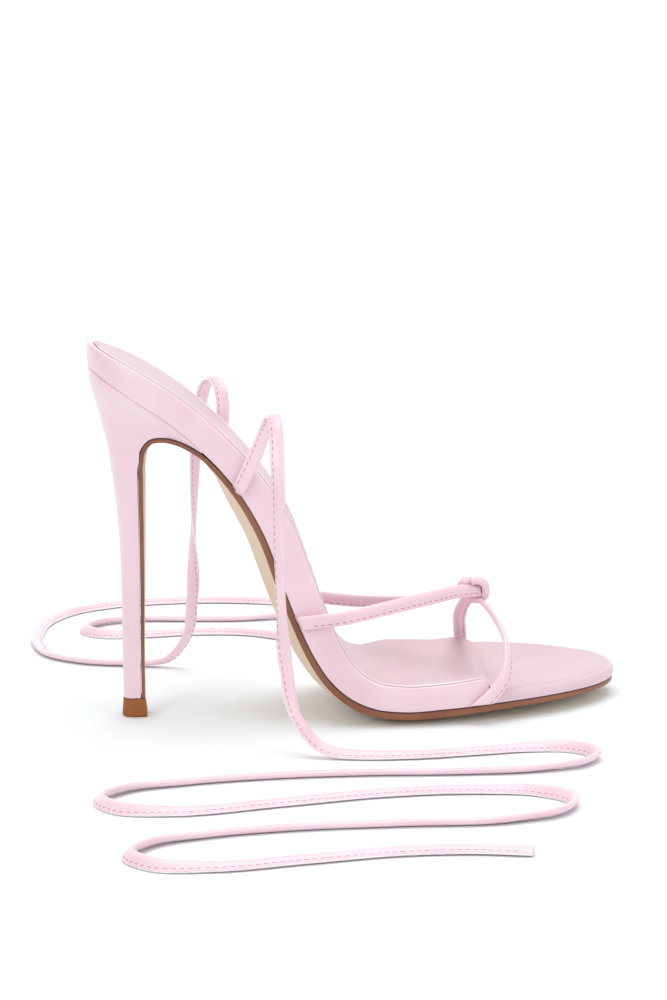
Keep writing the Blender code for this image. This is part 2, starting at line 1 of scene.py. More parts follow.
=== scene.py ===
"""Looks of the pink high-heeled sandal: leather, stitches, cut edges, the knot and the two ankle ties.

The frame is the shoe's own: X from the heel to the toe, Y from the outer to the inner side, Z up from the
floor. Shapes are worked out in millimetres as whole arrays and put into the meshes in metres.
"""

import math
from collections import namedtuple

import bmesh
import bpy
import numpy as np
from mathutils import Matrix, Vector


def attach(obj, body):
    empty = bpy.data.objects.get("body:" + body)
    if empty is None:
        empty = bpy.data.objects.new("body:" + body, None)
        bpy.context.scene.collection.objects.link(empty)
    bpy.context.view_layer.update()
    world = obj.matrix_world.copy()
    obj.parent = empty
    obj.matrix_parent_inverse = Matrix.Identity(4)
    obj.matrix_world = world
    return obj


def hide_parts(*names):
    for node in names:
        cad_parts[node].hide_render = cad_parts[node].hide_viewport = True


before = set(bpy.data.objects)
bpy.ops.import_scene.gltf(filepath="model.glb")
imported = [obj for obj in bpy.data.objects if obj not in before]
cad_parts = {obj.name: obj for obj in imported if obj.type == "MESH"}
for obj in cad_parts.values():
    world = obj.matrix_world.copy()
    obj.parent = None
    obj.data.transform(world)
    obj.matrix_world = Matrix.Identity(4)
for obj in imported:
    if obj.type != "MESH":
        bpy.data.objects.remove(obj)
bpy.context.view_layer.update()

MM = 0.001
GAP = 0.3                   # left between pieces that lie on each other

# The seam under the footbed from the back of the heel to the toe, as in the part's source
Last = namedtuple("Last", "x z half middle wall dish crown sole")
LAST = [Last(*row) for row in (
    (-93.6, 128.7, 26.2, 0.0, 9.1, 2.0, 0.0, 1.5),
    (-78.0, 118.2, 26.4, 0.0, 9.8, 2.0, 0.0, 1.5),
    (-64.1, 108.1, 26.0, -0.2, 9.3, 1.8, 0.0, 1.5),
    (-54.4, 98.9, 25.0, -0.5, 9.2, 1.6, 0.0, 1.6),
    (-48.2, 92.1, 24.3, -0.7, 9.2, 1.5, 1.8, 1.8),
    (-41.0, 82.3, 23.4, -0.9, 9.6, 1.5, 4.2, 1.9),
    (-34.0, 69.0, 23.0, -1.0, 10.4, 1.5, 4.6, 2.0),
    (-26.7, 47.3, 24.2, -0.9, 10.8, 1.8, 4.6, 2.0),
    (-22.3, 35.2, 26.2, -0.7, 10.6, 2.2, 4.6, 2.0),
    (-17.6, 24.6, 28.8, -0.5, 10.0, 2.6, 4.5, 2.1),
    (-12.7, 16.8, 31.1, -0.3, 9.6, 2.9, 4.2, 2.2),
    (-6.0, 10.6, 33.5, -0.1, 9.2, 3.2, 3.6, 2.4),
    (2.0, 6.9, 35.5, 0.0, 8.9, 3.4, 3.5, 2.6),
    (12.0, 5.5, 36.9, 0.0, 8.6, 3.5, 3.3, 2.6),
    (28.0, 6.0, 37.5, 0.0, 8.4, 3.8, 3.5, 2.6),
    (46.0, 6.9, 37.5, 0.9, 8.8, 4.4, 2.6, 2.4),
    (70.0, 7.2, 37.5, 2.9, 4.3, 0.4, 2.2, 2.0),
    (93.5, 6.8, 37.5, 4.7, 4.2, 0.3, 1.2, 1.5),
)]

# The front of the heel from its tip to the thin edge under the footbed, with the heel's back beside it
Front = namedtuple("Front", "x z half middle back_x back_z crown belly sole")
BREAST = [Front(*row) for row in (
    (-79.9, 7.0, 4.3, 0, -86.1, 7.0, 0, 0.2, 1.2),
    (-79.4, 26.0, 4.9, 0, -85.8, 26.0, 0, 0.3, 1.2),
    (-78.6, 48.0, 6.0, 0, -85.2, 48.6, 0, 0.5, 1.3),
    (-78.0, 70.0, 7.8, 0, -85.4, 71.5, 0, 0.8, 1.4),
    (-77.6, 86.0, 10.8, 0, -86.9, 90.0, 0, 1.0, 1.5),
    (-77.2, 94.0, 13.0, 0, -88.3, 101.5, 0, 1.1, 1.5),
    (-75.8, 99.6, 15.4, 0, -90.0, 108.8, 0, 1.2, 1.5),
    (-72.6, 103.0, 17.8, 0, -91.2, 114.0, 0, 1.2, 1.5),
    (-68.0, 103.9, 20.4, -0.1, -92.3, 118.4, 0, 1.2, 1.5),
    (-63.0, 103.0, 22.8, -0.2, -93.3, 122.8, 0, 1.1, 1.5),
    (-57.6, 100.5, 24.6, -0.4, -93.6, 127.1, 0, 1.0, 1.5),
    (-54.2, 98.2, 25, -0.5, -93.6, 128.1, 0.2, 0.8, 1.6),
    (-48.2, 92.1, 24.3, -0.7, -93.6, 128.1, 1.8, 0, 1.8),
)]
HEEL_TOP_X = -54.8          # the heel ends here in a thin edge
SEAM = 0.1                  # fine line between the heel and the footbed

HEEL_ROUND = 24.0           # length of the outline's round end at the heel, along the seam
TOE_ROUND_X = 30.0          # the toe's outline is half an ellipse from here to its tip
TOE_TIP_X = 93.5
RIM_FRONT_X = 45.0          # the footbed's wall ends here on the inner side
RIM_SKEW = 1.8              # and this much further back on the outer side
WALL_END = 1.2              # the wall rounds down over this much at its front
WALL_BULGE = 0.4
RIM = 2.2                   # the sock's edge lies this far in from the outline
RIM_STEP = 1.3              # and its bed this far under the rim
RIM_WIDER = 1.2             # the rim is this much wider at the very back of the heel,
RIM_WIDER_TO = 9.0          # and as wide as elsewhere from here on
SOCK = 1.9                  # thickness of the sock
EDGE_INSET = 0.3            # the sole's edge stands back from the outline
TOE_BOARD = 4.3             # thickness of the open forepart at its edge

TIP_BACK_X = -86.9
TIP_FRONT_X = -77.8
TIP_HALF = 4.9

STRAP_WIDTH = 4.9
STRAP_THICK = 2.2
STITCH_PITCH = 2.4


def smooth(knots, values, at):
    """Cubic curve through the values at the knots, with its slope taken from the neighbours."""
    slopes = np.gradient(values, knots)
    left = np.clip(np.searchsorted(knots, at) - 1, 0, len(knots) - 2)
    span = knots[left + 1] - knots[left]
    t = (at - knots[left]) / span
    start = (1 + 2 * t) * (1 - t) ** 2 * values[left] + t * (1 - t) ** 2 * span * slopes[left]
    end = t * t * (3 - 2 * t) * values[left + 1] + t * t * (t - 1) * span * slopes[left + 1]
    return start + end


def way_along(points):
    """Length along a line of points up to each of them."""
    return np.concatenate(([0.0], np.cumsum(np.linalg.norm(np.diff(points, axis=0), axis=1))))


def ease(t):
    """0 up to 0, 1 from 1 on, and a soft step in between."""
    t = np.clip(t, 0, 1)
    return t * t * (3 - 2 * t)


class Profile:
    """A side profile whose columns are read at arrays of lengths along it."""

    def __init__(self, rows):
        self.rows = rows
        self.knots = way_along(np.array([(row.x, row.z) for row in rows]))
        self.length = float(self.knots[-1])

    def read(self, name, s):
        values = np.array([getattr(row, name) for row in self.rows], dtype=float)
        return smooth(self.knots, values, np.asarray(s, dtype=float))

    def up(self, s):
        """Direction square on the profile in the XZ plane: its slope over 0.8 mm, turned by a right angle."""
        before = np.clip(s - 0.4, 0, self.length - 0.8)
        after = before + 0.8
        dx = self.read("x", after) - self.read("x", before)
        dz = self.read("z", after) - self.read("z", before)
        size = np.hypot(dx, dz)
        return -dz / size, dx / size


last = Profile(LAST)
breast = Profile(BREAST)
FINE_S = np.linspace(0, last.length, 4000)
FINE_X = last.read("x", FINE_S)


def at_x(x):
    """Length along the last where it passes x."""
    return np.interp(x, FINE_X, FINE_S)


S_RIM_FRONT, S_TOE_TIP, S_TOE_ROUND = (float(at_x(x)) for x in (RIM_FRONT_X, TOE_TIP_X, TOE_ROUND_X))


def last_up(s):
    """Up direction of the last: square on the seam, but upright at the very back of the heel."""
    square_x, square_z = last.up(s)
    share = ease(s / (2 * HEEL_ROUND))
    size = np.hypot(square_x * share, square_z)
    return square_x * share / size, square_z / size


def on_profile(profile, up, s, y, v):
    """Points at height v over the profile, in its up direction, and y across from its middle."""
    s, y, v = np.broadcast_arrays(np.asarray(s, float), y, v)
    up_x, up_z = up(s)
    return np.stack([profile.read("x", s) + v * up_x, profile.read("middle", s) + y,
                     profile.read("z", s) + v * up_z], axis=-1)


def on_last(s, y, v):
    """The same over the seam under the footbed."""
    return on_profile(last, last_up, s, y, v)


def on_breast(s, y, v):
    """The same over the heel's front line."""
    return on_profile(breast, breast.up, s, y, v)


def width_share(s, y):
    """How far y lies towards the outline's side at s: 0 up to the middle, 1 at the edge."""
    return np.clip(y / np.maximum(outline(s), 0.5), 0, 1)


def outline(s):
    """Half width of the foot's outline at s, with both ends rounded as ellipses."""
    heel_share = np.clip((HEEL_ROUND - s) / HEEL_ROUND, 0, 1)
    toe_share = np.clip((last.read("x", s) - TOE_ROUND_X) / (TOE_TIP_X - TOE_ROUND_X), 0, 1)
    return last.read("half", s) * np.sqrt((1 - heel_share ** 2) * (1 - toe_share ** 2))


def put_object(name, data):
    """Object with this data, in the scene."""
    thing = bpy.data.objects.new(name, data)
    bpy.context.scene.collection.objects.link(thing)
    return thing


def put_mesh(name, points, faces, materials, face_material=None, uv=None):
    """Mesh piece from points and faces. uv holds a pair for each point, in millimetres like the points."""
    data = bpy.data.meshes.new(name)
    data.from_pydata((np.asarray(points, float).reshape(-1, 3) * MM).tolist(), [],
                     [tuple(int(k) for k in face) for face in faces])
    for material in materials:
        data.materials.append(material)
    if face_material is not None:
        data.polygons.foreach_set("material_index", np.asarray(face_material, np.int32))
    if uv is not None:
        layer = data.uv_layers.new(name="lay")
        corner = np.empty(len(data.loops), np.int32)
        data.loops.foreach_get("vertex_index", corner)
        layer.data.foreach_set("uv", (np.asarray(uv, np.float32).reshape(-1, 2)[corner] * MM).ravel())
    data.validate()
    data.update()
    data.shade_smooth()
    return put_object(name, data)


def grid_faces(rows, columns, wrap_columns=False):
    """Quads of a grid of points numbered row by row, as one array."""
    i = np.arange(rows - 1)[:, None]
    j = np.arange(columns if wrap_columns else columns - 1)[None, :]
    a = i * columns + j
    b = i * columns + (j + 1) % columns
    c = (i + 1) * columns + (j + 1) % columns
    d = (i + 1) * columns + j
    return np.stack(np.broadcast_arrays(a, b, c, d), axis=-1).reshape(-1, 4)


def end_caps(rows, columns):
    """The two faces that close a tube of rings."""
    return [tuple(range(columns)), tuple(range(rows * columns - 1, (rows - 1) * columns - 1, -1))]


def close_front(rows, columns):
    """One face over the front end: the first row's points and back along the last row's."""
    return [tuple(range(columns)) + tuple((rows - 1) * columns + k for k in range(columns - 1, -1, -1))]


WELD = 0.004                # points nearer than this become one


def finish_piece(thing, nodes=(), angle=None):
    """Welds the seams and poles, turns the faces outwards, and rides the piece on the shoe."""
    work = bmesh.new()
    work.from_mesh(thing.data)
    bmesh.ops.remove_doubles(work, verts=work.verts, dist=WELD * MM)
    bmesh.ops.dissolve_degenerate(work, dist=WELD * MM / 4, edges=work.edges)
    bmesh.ops.recalc_face_normals(work, faces=work.faces)
    work.to_mesh(thing.data)
    work.free()
    thing.data.shade_smooth()
    if angle is not None:
        thing.data.set_sharp_from_angle(angle=math.radians(angle))
    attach(thing, "root")
    if nodes:
        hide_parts(*nodes)


# Camera at the photo's angle
AZIMUTH = math.radians(-3.6)
ELEVATION = math.radians(9.4)
ROLL = math.radians(-1.8)
CAMERA_PLACE = (-63.30, -886.16, 222.98)
FOCAL = 89.75


def put_camera():
    """Camera turned by the three angles and set at its place."""
    back = np.array([math.sin(AZIMUTH) * math.cos(ELEVATION), -math.cos(AZIMUTH) * math.cos(ELEVATION),
                     math.sin(ELEVATION)])
    right = np.array([math.cos(AZIMUTH), math.sin(AZIMUTH), 0.0])
    up = np.cross(back, right)
    turned_right = right * math.cos(ROLL) + up * math.sin(ROLL)
    turned_up = up * math.cos(ROLL) - right * math.sin(ROLL)
    lens = bpy.data.cameras.new("camera")
    lens.lens, lens.sensor_width = FOCAL, 36
    lens.clip_start, lens.clip_end = 0.05, 50
    camera = put_object("camera", lens)
    place = Matrix(np.stack([turned_right, turned_up, back], axis=1).tolist()).to_4x4()
    place.translation = [c * MM for c in CAMERA_PLACE]
    camera.matrix_world = place
    bpy.context.scene.camera = camera


put_camera()


def link_nodes(tree, *pairs):
    """Links each output to its input."""
    for source, target in pairs:
        tree.links.new(source, target)


def set_inputs(node, values):
    """Sets the node's inputs, by their labels or numbers, to plain values."""
    for label, value in values.items():
        node.inputs[label].default_value = value


def leather_group():
    """Shared finish: fine pebbled grain, soft clouds of tone, and pores, from the object's coordinates."""
    group = bpy.data.node_groups.new("leather_grain", "ShaderNodeTree")
    face = group.interface
    for label, kind in (("Light", "Color"), ("Dark", "Color"), ("Grain per metre", "Float"),
                        ("Roughness low", "Float"), ("Roughness high", "Float")):
        face.new_socket(name=label, in_out="INPUT", socket_type="NodeSocket" + kind)
    for label, kind in (("Tone", "Color"), ("Roughness", "Float"), ("Height", "Float")):
        face.new_socket(name=label, in_out="OUTPUT", socket_type="NodeSocket" + kind)
    given, put_out = (group.nodes.new("NodeGroup" + kind) for kind in ("Input", "Output"))
    place, cells, fine, clouds, spread, tone, rough, height = (
        group.nodes.new("ShaderNode" + kind)
        for kind in ("TexCoord", "TexVoronoi", "TexNoise", "TexNoise", "MapRange", "Mix", "MapRange", "Math"))
    cells.feature = "SMOOTH_F1"
    tone.data_type = "RGBA"
    height.operation = "MULTIPLY_ADD"
    set_inputs(cells, {"Smoothness": 0.6})
    set_inputs(fine, {"Scale": 420, "Detail": 3})
    set_inputs(clouds, {"Scale": 38, "Detail": 2})
    set_inputs(spread, {"From Min": 0.35, "From Max": 0.65})
    set_inputs(height, {1: 0.5})
    link_nodes(
        group,
        (place.outputs["Object"], cells.inputs["Vector"]),
        (place.outputs["Object"], fine.inputs["Vector"]),
        (place.outputs["Object"], clouds.inputs["Vector"]),
        (given.outputs["Grain per metre"], cells.inputs["Scale"]),
        (clouds.outputs["Fac"], spread.inputs["Value"]),
        (spread.outputs["Result"], tone.inputs["Factor"]),
        (given.outputs["Dark"], tone.inputs["A"]),
        (given.outputs["Light"], tone.inputs["B"]),
        (tone.outputs["Result"], put_out.inputs["Tone"]),
        (fine.outputs["Fac"], rough.inputs["Value"]),
        (given.outputs["Roughness low"], rough.inputs["To Min"]),
        (given.outputs["Roughness high"], rough.inputs["To Max"]),
        (rough.outputs["Result"], put_out.inputs["Roughness"]),
        (fine.outputs["Fac"], height.inputs[0]),
        (cells.outputs["Distance"], height.inputs[2]),
        (height.outputs["Value"], put_out.inputs["Height"]),
    )
    return group


GRAIN = leather_group()
GRAIN_DEPTH = 0.0002        # in metres


def leather(name, light, dark, rough, grain=900.0, bump=0.05, coat=0.0):
    """Material on the shared grain: two tones, roughness from low to high, bump and a clear coat."""
    material = bpy.data.materials.new(name)
    material.use_nodes = True
    tree = material.node_tree
    shader = tree.nodes["Principled BSDF"]
    group = tree.nodes.new("ShaderNodeGroup")
    group.node_tree = GRAIN
    set_inputs(group, {"Light": (*light, 1), "Dark": (*dark, 1), "Grain per metre": grain,
                       "Roughness low": rough[0], "Roughness high": rough[1]})
    ripple = tree.nodes.new("ShaderNodeBump")
    set_inputs(ripple, {"Strength": bump, "Distance": GRAIN_DEPTH})
    set_inputs(shader, {"Coat Weight": coat, "Coat Roughness": 0.2})
    link_nodes(
        tree,
        (group.outputs["Tone"], shader.inputs["Base Color"]),
        (group.outputs["Roughness"], shader.inputs["Roughness"]),
        (group.outputs["Height"], ripple.inputs["Height"]),
        (ripple.outputs["Normal"], shader.inputs["Normal"]),
    )
    return material


PINK = leather("pink_leather", (0.87, 0.655, 0.715), (0.845, 0.615, 0.68), rough=(0.3, 0.42), bump=0.06,
               coat=0.25)
STRAP_PINK = leather("strap_leather", (0.89, 0.665, 0.725), (0.85, 0.605, 0.675), rough=(0.28, 0.4),
                     bump=0.08, coat=0.3)
SOCK_PINK = leather("sock_leather", (0.68, 0.505, 0.54), (0.655, 0.475, 0.51), rough=(0.42, 0.55), bump=0.05)
# Lighter pink for the forepart's wrapped side: painted light, the side face shown brighter than the top of
# the same leather
WRAP_LIT_PINK = leather("wrap_painted_light", (0.77, 0.575, 0.63), (0.745, 0.545, 0.60), rough=(0.35, 0.5), bump=0.05)
RAW_EDGE = leather("raw_edge", (0.97, 0.95, 0.94), (0.90, 0.86, 0.86), rough=(0.8, 0.95), grain=2500,
                   bump=0.4)
EDGE_PAINT = leather("edge_paint", (0.30, 0.108, 0.052), (0.21, 0.07, 0.033), rough=(0.35, 0.5), grain=1500,
                     bump=0.1)
EDGE_DARK = leather("edge_dark", (0.07, 0.022, 0.022), (0.05, 0.016, 0.018), rough=(0.4, 0.55), grain=1500,
                    bump=0.1)
SOLE_LEATHER = leather("sole_leather", (0.77, 0.60, 0.445), (0.71, 0.54, 0.39), rough=(0.5, 0.65), grain=1300,
                       bump=0.12)
TIP_RUBBER = leather("tip_rubber", (0.33, 0.105, 0.014), (0.28, 0.085, 0.012), rough=(0.5, 0.62), grain=1200,
                     bump=0.1)
THREAD = leather("thread", (0.62, 0.27, 0.38), (0.52, 0.21, 0.31), rough=(0.6, 0.8), grain=3000, bump=0.2)


def curve_through(points, count):
    """Smooth curve through given points, read at even lengths."""
    route = np.array(points, dtype=float)
    knots = way_along(route[:, :3])
    fine = np.linspace(0, knots[-1], 12 * count)
    dense = np.stack([smooth(knots, route[:, axis], fine) for axis in range(route.shape[1])], axis=1)
    lengths = way_along(dense[:, :3])
    even = np.linspace(0, lengths[-1], count)
    return np.stack([np.interp(even, lengths, dense[:, axis]) for axis in range(dense.shape[1])], axis=1)


def unit(vectors):
    """The same directions with length 1."""
    return vectors / np.linalg.norm(vectors, axis=-1, keepdims=True)


# Section of a strap: one leather strip folded round a core and stitched beside its open edge.
# The half thickness over the width w is the larger of the roll's ellipse and the flat flange.
ROLL_MIDDLE = 0.62
ROLL_HALF = 1.83
FLANGE_END = -2.45
FLANGE_HALF = 0.62
STITCH_PLACE = -1.42
SECTION_SIDES = 13          # points over the section, from edge to edge


def strap_section():
    """Closed outline of the folded strap as pairs of width and thickness, from one edge over and back."""
    turn = np.linspace(0, math.pi, SECTION_SIDES)
    w = STRAP_WIDTH / 2 * np.cos(turn)
    roll = STRAP_THICK / 2 * np.sqrt(np.clip(1 - ((w - ROLL_MIDDLE) / ROLL_HALF) ** 2, 0, None))
    flange = FLANGE_HALF * np.sqrt(np.clip((w - FLANGE_END) / 0.5, 0, 1)) * ease((ROLL_MIDDLE - w) / 0.5)
    deep = np.maximum(roll, flange)
    top = np.stack([w, deep], axis=1)
    under = np.stack([w, -deep], axis=1)[::-1][1:-1]
    return np.concatenate([top, under])


SECTION = strap_section()
# The section's faces that are the flange's cut edge
FLANGE_EDGE = (SECTION_SIDES - 2, SECTION_SIDES - 1)


TUCK_FROM = 0.9             # over the seam, where a strap starts to turn in
TUCK_OVER = 1.4             # height in which it does
TUCK_LOWEST = -1.0          # and nothing of it hangs lower than this


def tuck(points, reach):
    """Draws a strap into the seam over the sole, inwards by reach, and lifts what would hang too low."""
    seam_s = np.linspace(0, last.length, 500)
    seam_x, seam_z = last.read("x", seam_s), last.read("z", seam_s)
    away = (points[..., 0, None] - seam_x) ** 2 + (points[..., 2, None] - seam_z) ** 2
    s = seam_s[np.argmin(away, axis=-1)]
    up_x, up_z = last_up(s)
    over = (points[..., 0] - last.read("x", s)) * up_x + (points[..., 2] - last.read("z", s)) * up_z
    lift = np.maximum(over, TUCK_LOWEST) - over
    moved = points.copy()
    moved[..., 0] += lift * up_x
    moved[..., 1] -= np.sign(points[..., 1]) * reach * ease((TUCK_FROM - over) / TUCK_OVER)
    moved[..., 2] += lift * up_z
    return moved


def sweep(name, places, side, materials, tucked, reach, thick=1.0, raw=()):
    """Strap: its section is carried along the places, its width along side and its depth square to both.

    thick scales the depth. The places that tucked names go into the seam by reach. raw names the section's
    faces that take the second material, and the two ends are closed with a fan in that material too.
    """
    along = unit(np.gradient(places, axis=0))
    side = unit(side - along * np.sum(side * along, axis=1)[:, None])
    face = np.cross(along, side)
    points = (places[:, None, :] + SECTION[None, :, :1] * side[:, None, :]
              + SECTION[None, :, 1:] * thick * face[:, None, :])
    points[tucked] = tuck(points[tucked], reach)
    count = len(SECTION)
    rows = len(places)
    faces = grid_faces(rows, count, wrap_columns=True)
    first_ring = np.arange(count)
    last_ring = first_ring + (rows - 1) * count
    middle = rows * count
    caps = [np.stack([np.roll(first_ring, -1), first_ring, np.full(count, middle)], axis=1),
            np.stack([last_ring, np.roll(last_ring, -1), np.full(count, middle + 1)], axis=1)]
    every = np.concatenate([points.reshape(-1, 3), points[[0, -1]].mean(axis=1)])
    lengths = way_along(places)
    uv = np.stack(np.broadcast_arrays(lengths[:, None], way_along(SECTION)[None, :]), axis=-1).reshape(-1, 2)
    uv = np.concatenate([uv, [[lengths[0], 0], [lengths[-1], 0]]])
    column = np.tile(np.arange(count), rows - 1)
    which = np.concatenate([np.isin(column, raw).astype(int), np.ones(2 * count, int)])
    return put_mesh(name, every, [*faces, *caps[0], *caps[1]], materials, which, uv), side, face, lengths


# A stitch's thread: its rings along the strap, their fatness, and its half width and half depth
THREAD_RINGS = np.array([-0.78, -0.6, 0.0, 0.6, 0.78])
THREAD_FAT = np.array([0.05, 0.8, 1.0, 0.8, 0.05])
THREAD_SIDES = 6
THREAD_WIDE = 0.17
THREAD_DEEP = 0.11


def stitches(name, places, side, face, lengths, start, end):
    """Rows of short threads on both faces of a strap's flange, sunk halfway into the leather.

    Each is a spindle: at its rings an ellipse, as wide and as deep as the thread times the ring's fatness.
    """
    count = int((end - start) / STITCH_PITCH)
    middle = start + (np.arange(count) + 0.5) * (end - start) / count
    turn = np.arange(THREAD_SIDES) / THREAD_SIDES * 2 * math.pi
    at = middle[:, None] + THREAD_RINGS[None, :]
    read = [np.stack([np.interp(at, lengths, field[:, k]) for k in range(3)], axis=-1)
            for field in (places, side, face)]
    centre, across, out = read[0], unit(read[1]), unit(read[2])
    fat = THREAD_FAT[None, :, None]
    wide = (STITCH_PLACE + THREAD_WIDE * fat * np.cos(turn))[..., None]
    deep = (THREAD_DEEP * fat * np.sin(turn))[..., None]
    both = [centre[:, :, None, :] + wide * across[:, :, None, :] + (deep + lift) * out[:, :, None, :]
            for lift in (FLANGE_HALF, -FLANGE_HALF)]
    one = grid_faces(len(THREAD_RINGS), THREAD_SIDES, wrap_columns=True)
    ring = np.arange(THREAD_SIDES)
    first = np.arange(2 * count)[:, None] * len(THREAD_RINGS) * THREAD_SIDES
    faces = (one[None] + first[:, :, None]).reshape(-1, 4)
    far_end = (len(THREAD_RINGS) - 1) * THREAD_SIDES
    caps = np.concatenate([first + ring[None, ::-1], first + far_end + ring[None, :]])
    return put_mesh(name, both, [*faces, *caps], [THREAD])


# Ankle ties, laid down, on the routes of the part's source
FLOOR = 1.85                # height of a route that lies on the floor


def on_floor(*route):
    """The stretch of a route that lies on the floor, from its x and y."""
    return tuple((x, y, FLOOR) for x, y in route)


TIE_OUTER = (
    (-42.3, -26.9, 85.4), (-38.0, -27.3, 93.4), (-34.4, -28.2, 101.2), (-31.6, -31.6, 108.8),
    (-30.0, -38.6, 112.8), (-29.4, -45.8, 109.6), (-29.4, -50.2, 101.6), (-29.6, -53.4, 88.5),
    (-30.0, -56.2, 70.5), (-30.2, -59.2, 50.0), (-29.4, -63.2, 29.0), (-26.0, -67.8, 11.8),
    (-18.0, -72.6, 3.4),
) + on_floor(
    (-5.0, -76.4), (14.0, -78.6), (34.0, -77.4), (52.0, -76.4), (65.0, -79.6), (71.5, -88.5),
    (66.5, -98.5), (52.0, -102.0), (28.0, -101.0), (-6.0, -96.5), (-38.0, -95.0), (-66.0, -98.0),
    (-84.0, -103.5), (-92.5, -114.5), (-86.5, -126.5), (-70.0, -131.5), (-34.0, -127.0), (0.0, -122.0),
    (28.0, -123.5), (46.0, -129.0), (55.5, -140.0), (50.5, -152.0), (35.0, -157.0), (0.0, -155.0),
    (-34.0, -154.0), (-60.0, -157.5), (-75.0, -163.5), (-82.5, -175.0), (-75.0, -186.5), (-58.0, -190.0),
    (-30.0, -187.0), (-2.0, -184.0), (20.0, -186.0), (36.0, -190.5),
)
TIE_INNER = (
    (-48.4, 26.6, 93.6), (-46.4, 27.2, 100.5), (-45.6, 28.6, 107.5), (-46.2, 32.0, 114.2),
    (-48.4, 39.0, 117.6), (-51.4, 46.2, 114.4), (-53.6, 50.2, 106.5), (-55.6, 53.6, 93.0),
    (-57.2, 56.8, 74.0), (-58.4, 60.2, 52.0), (-59.6, 64.0, 29.0), (-63.0, 68.2, 11.5), (-71.0, 72.6, 3.2),
) + on_floor(
    (-84.0, 77.0), (-103.0, 85.0), (-117.0, 99.0), (-123.0, 119.0), (-124.0, 143.0), (-120.0, 166.0),
    (-109.0, 184.0), (-90.0, 194.0), (-64.0, 196.0), (-38.0, 191.0), (-18.0, 181.0), (-9.0, 168.5),
    (-15.0, 156.5), (-34.0, 153.0), (-60.0, 157.0), (-82.0, 160.5), (-98.0, 156.0), (-105.0, 144.0),
    (-98.0, 132.5), (-82.0, 129.5), (-58.0, 130.0), (-38.0, 125.0), (-21.0, 111.0), (-9.0, 94.0),
    (4.0, 80.0), (19.0, 71.5), (36.0, 68.6), (50.0, 68.3), (59.0, 67.2), (66.2, 63.4), (69.3, 57.0),
    (66.4, 50.6), (59.0, 46.8), (50.0, 45.8), (26.0, 45.4), (8.0, 45.8), (-6.0, 47.0),
)
# Way that each tie's width points on its way down: at its foot, over the bend, while falling, on landing
TURN_KNOTS = np.array([0.0, 12.0, 30.0, 55.0, 80.0, 112.0])
TURN_OUTER = ((0.85, 0.0, -0.5), (0.9, 0.0, -0.3), (1.0, 0.1, 0.1), (1.0, -0.1, 0.0), (0.8, -0.6, 0.0),
              (0.25, -1.0, 0.0))
TURN_INNER = ((0.9, 0.0, -0.35), (0.95, 0.0, -0.2), (1.0, -0.1, 0.1), (1.0, 0.1, 0.0), (0.7, 0.7, 0.0),
              (-0.3, 1.0, 0.0))
LANDING = 95.0              # length along a tie where it starts to lie down
LANDED = 135.0              # and where it lies on the floor
LEAN_RADIUS = 15.0          # in a bend as tight as this the tie leans over most
NEAR_FLOOR = 6.0            # below this the tie's lower edge follows the route
TIE_PLACES = 900
TIE_SUNK = slice(0, 12)     # the places that go into the seam
TIE_REACH = 3.6             # and how far
TIE_STITCHES_FROM = 3.0     # a tie's stitches start this far from its foot
TIE_STITCHES_TO = 4.0       # and end this far from its end


def softened(values, width):
    """The values averaged with a bell as wide as this many of them."""
    bell = np.hanning(width)
    return np.convolve(values, bell / bell.sum(), mode="same")


def tie_lay(route, turns):
    """Places and width directions of a tie: it lies flat on straight stretches and leans in bends.

    It starts a quarter of the route's first stretch further back.
    """
    start = np.array(route[0]) * 1.25 - np.array(route[1]) * 0.25
    places = curve_through((start,) + route[1:], TIE_PLACES)
    lengths = way_along(places)
    along = unit(np.gradient(places, axis=0))
    bend = np.linalg.norm(np.gradient(along, axis=0), axis=1) / np.gradient(lengths)
    lean = 0.15 + 0.55 * ease(softened(bend, 71) * LEAN_RADIUS)
    flat = unit(np.cross([0.0, 0.0, 1.0], along) + 1e-9)
    turned = np.stack([np.interp(lengths, TURN_KNOTS, np.array(turns)[:, k]) for k in range(3)], axis=1)
    lying = unit(flat * np.cos(lean)[:, None] + np.array([0, 0, 1.0]) * np.sin(lean)[:, None])
    if np.dot(turned[-1], flat[np.searchsorted(lengths, TURN_KNOTS[-1])]) < 0:
        lying = lying * np.array([-1.0, -1.0, 1.0])
    share = ease((lengths - LANDING) / (LANDED - LANDING))[:, None]
    side = unit(turned * (1 - share) + lying * share)
    side = unit(side - along * np.sum(side * along, axis=1)[:, None])
    face = np.cross(along, side)
    low = 0.1 + np.abs(SECTION[:, 0] * side[:, 2:] + SECTION[:, 1] * face[:, 2:]).max(1)
    high = np.where(places[:, 2] < NEAR_FLOOR, low + (places[:, 2] - FLOOR).clip(0), places[:, 2])
    places[:, 2] = np.maximum(softened(np.pad(high, 7, mode="edge"), 15)[7:-7], low)
    return places, side


def put_tie(name, node, route, turns):
    """Ankle tie along its route, with its stitches, as a cord."""
    places, side = tie_lay(route, turns)
    piece, side, face, lengths = sweep(name, places, side, [STRAP_PINK, RAW_EDGE], TIE_SUNK, TIE_REACH,
                                       raw=FLANGE_EDGE)
    finish_piece(piece, (node,))
    row = stitches(name + "_stitches", places, side, face, lengths, TIE_STITCHES_FROM,
                   lengths[-1] - TIE_STITCHES_TO)
    finish_piece(row)


put_tie("ankle_tie_outer", "tie_outer", TIE_OUTER, TURN_OUTER)
put_tie("ankle_tie_inner", "tie_inner", TIE_INNER, TURN_INNER)


SIDE_STEPS = 165            # rows of a footbed layer along a side
ROUND_STEPS = 26            # and round half of the heel


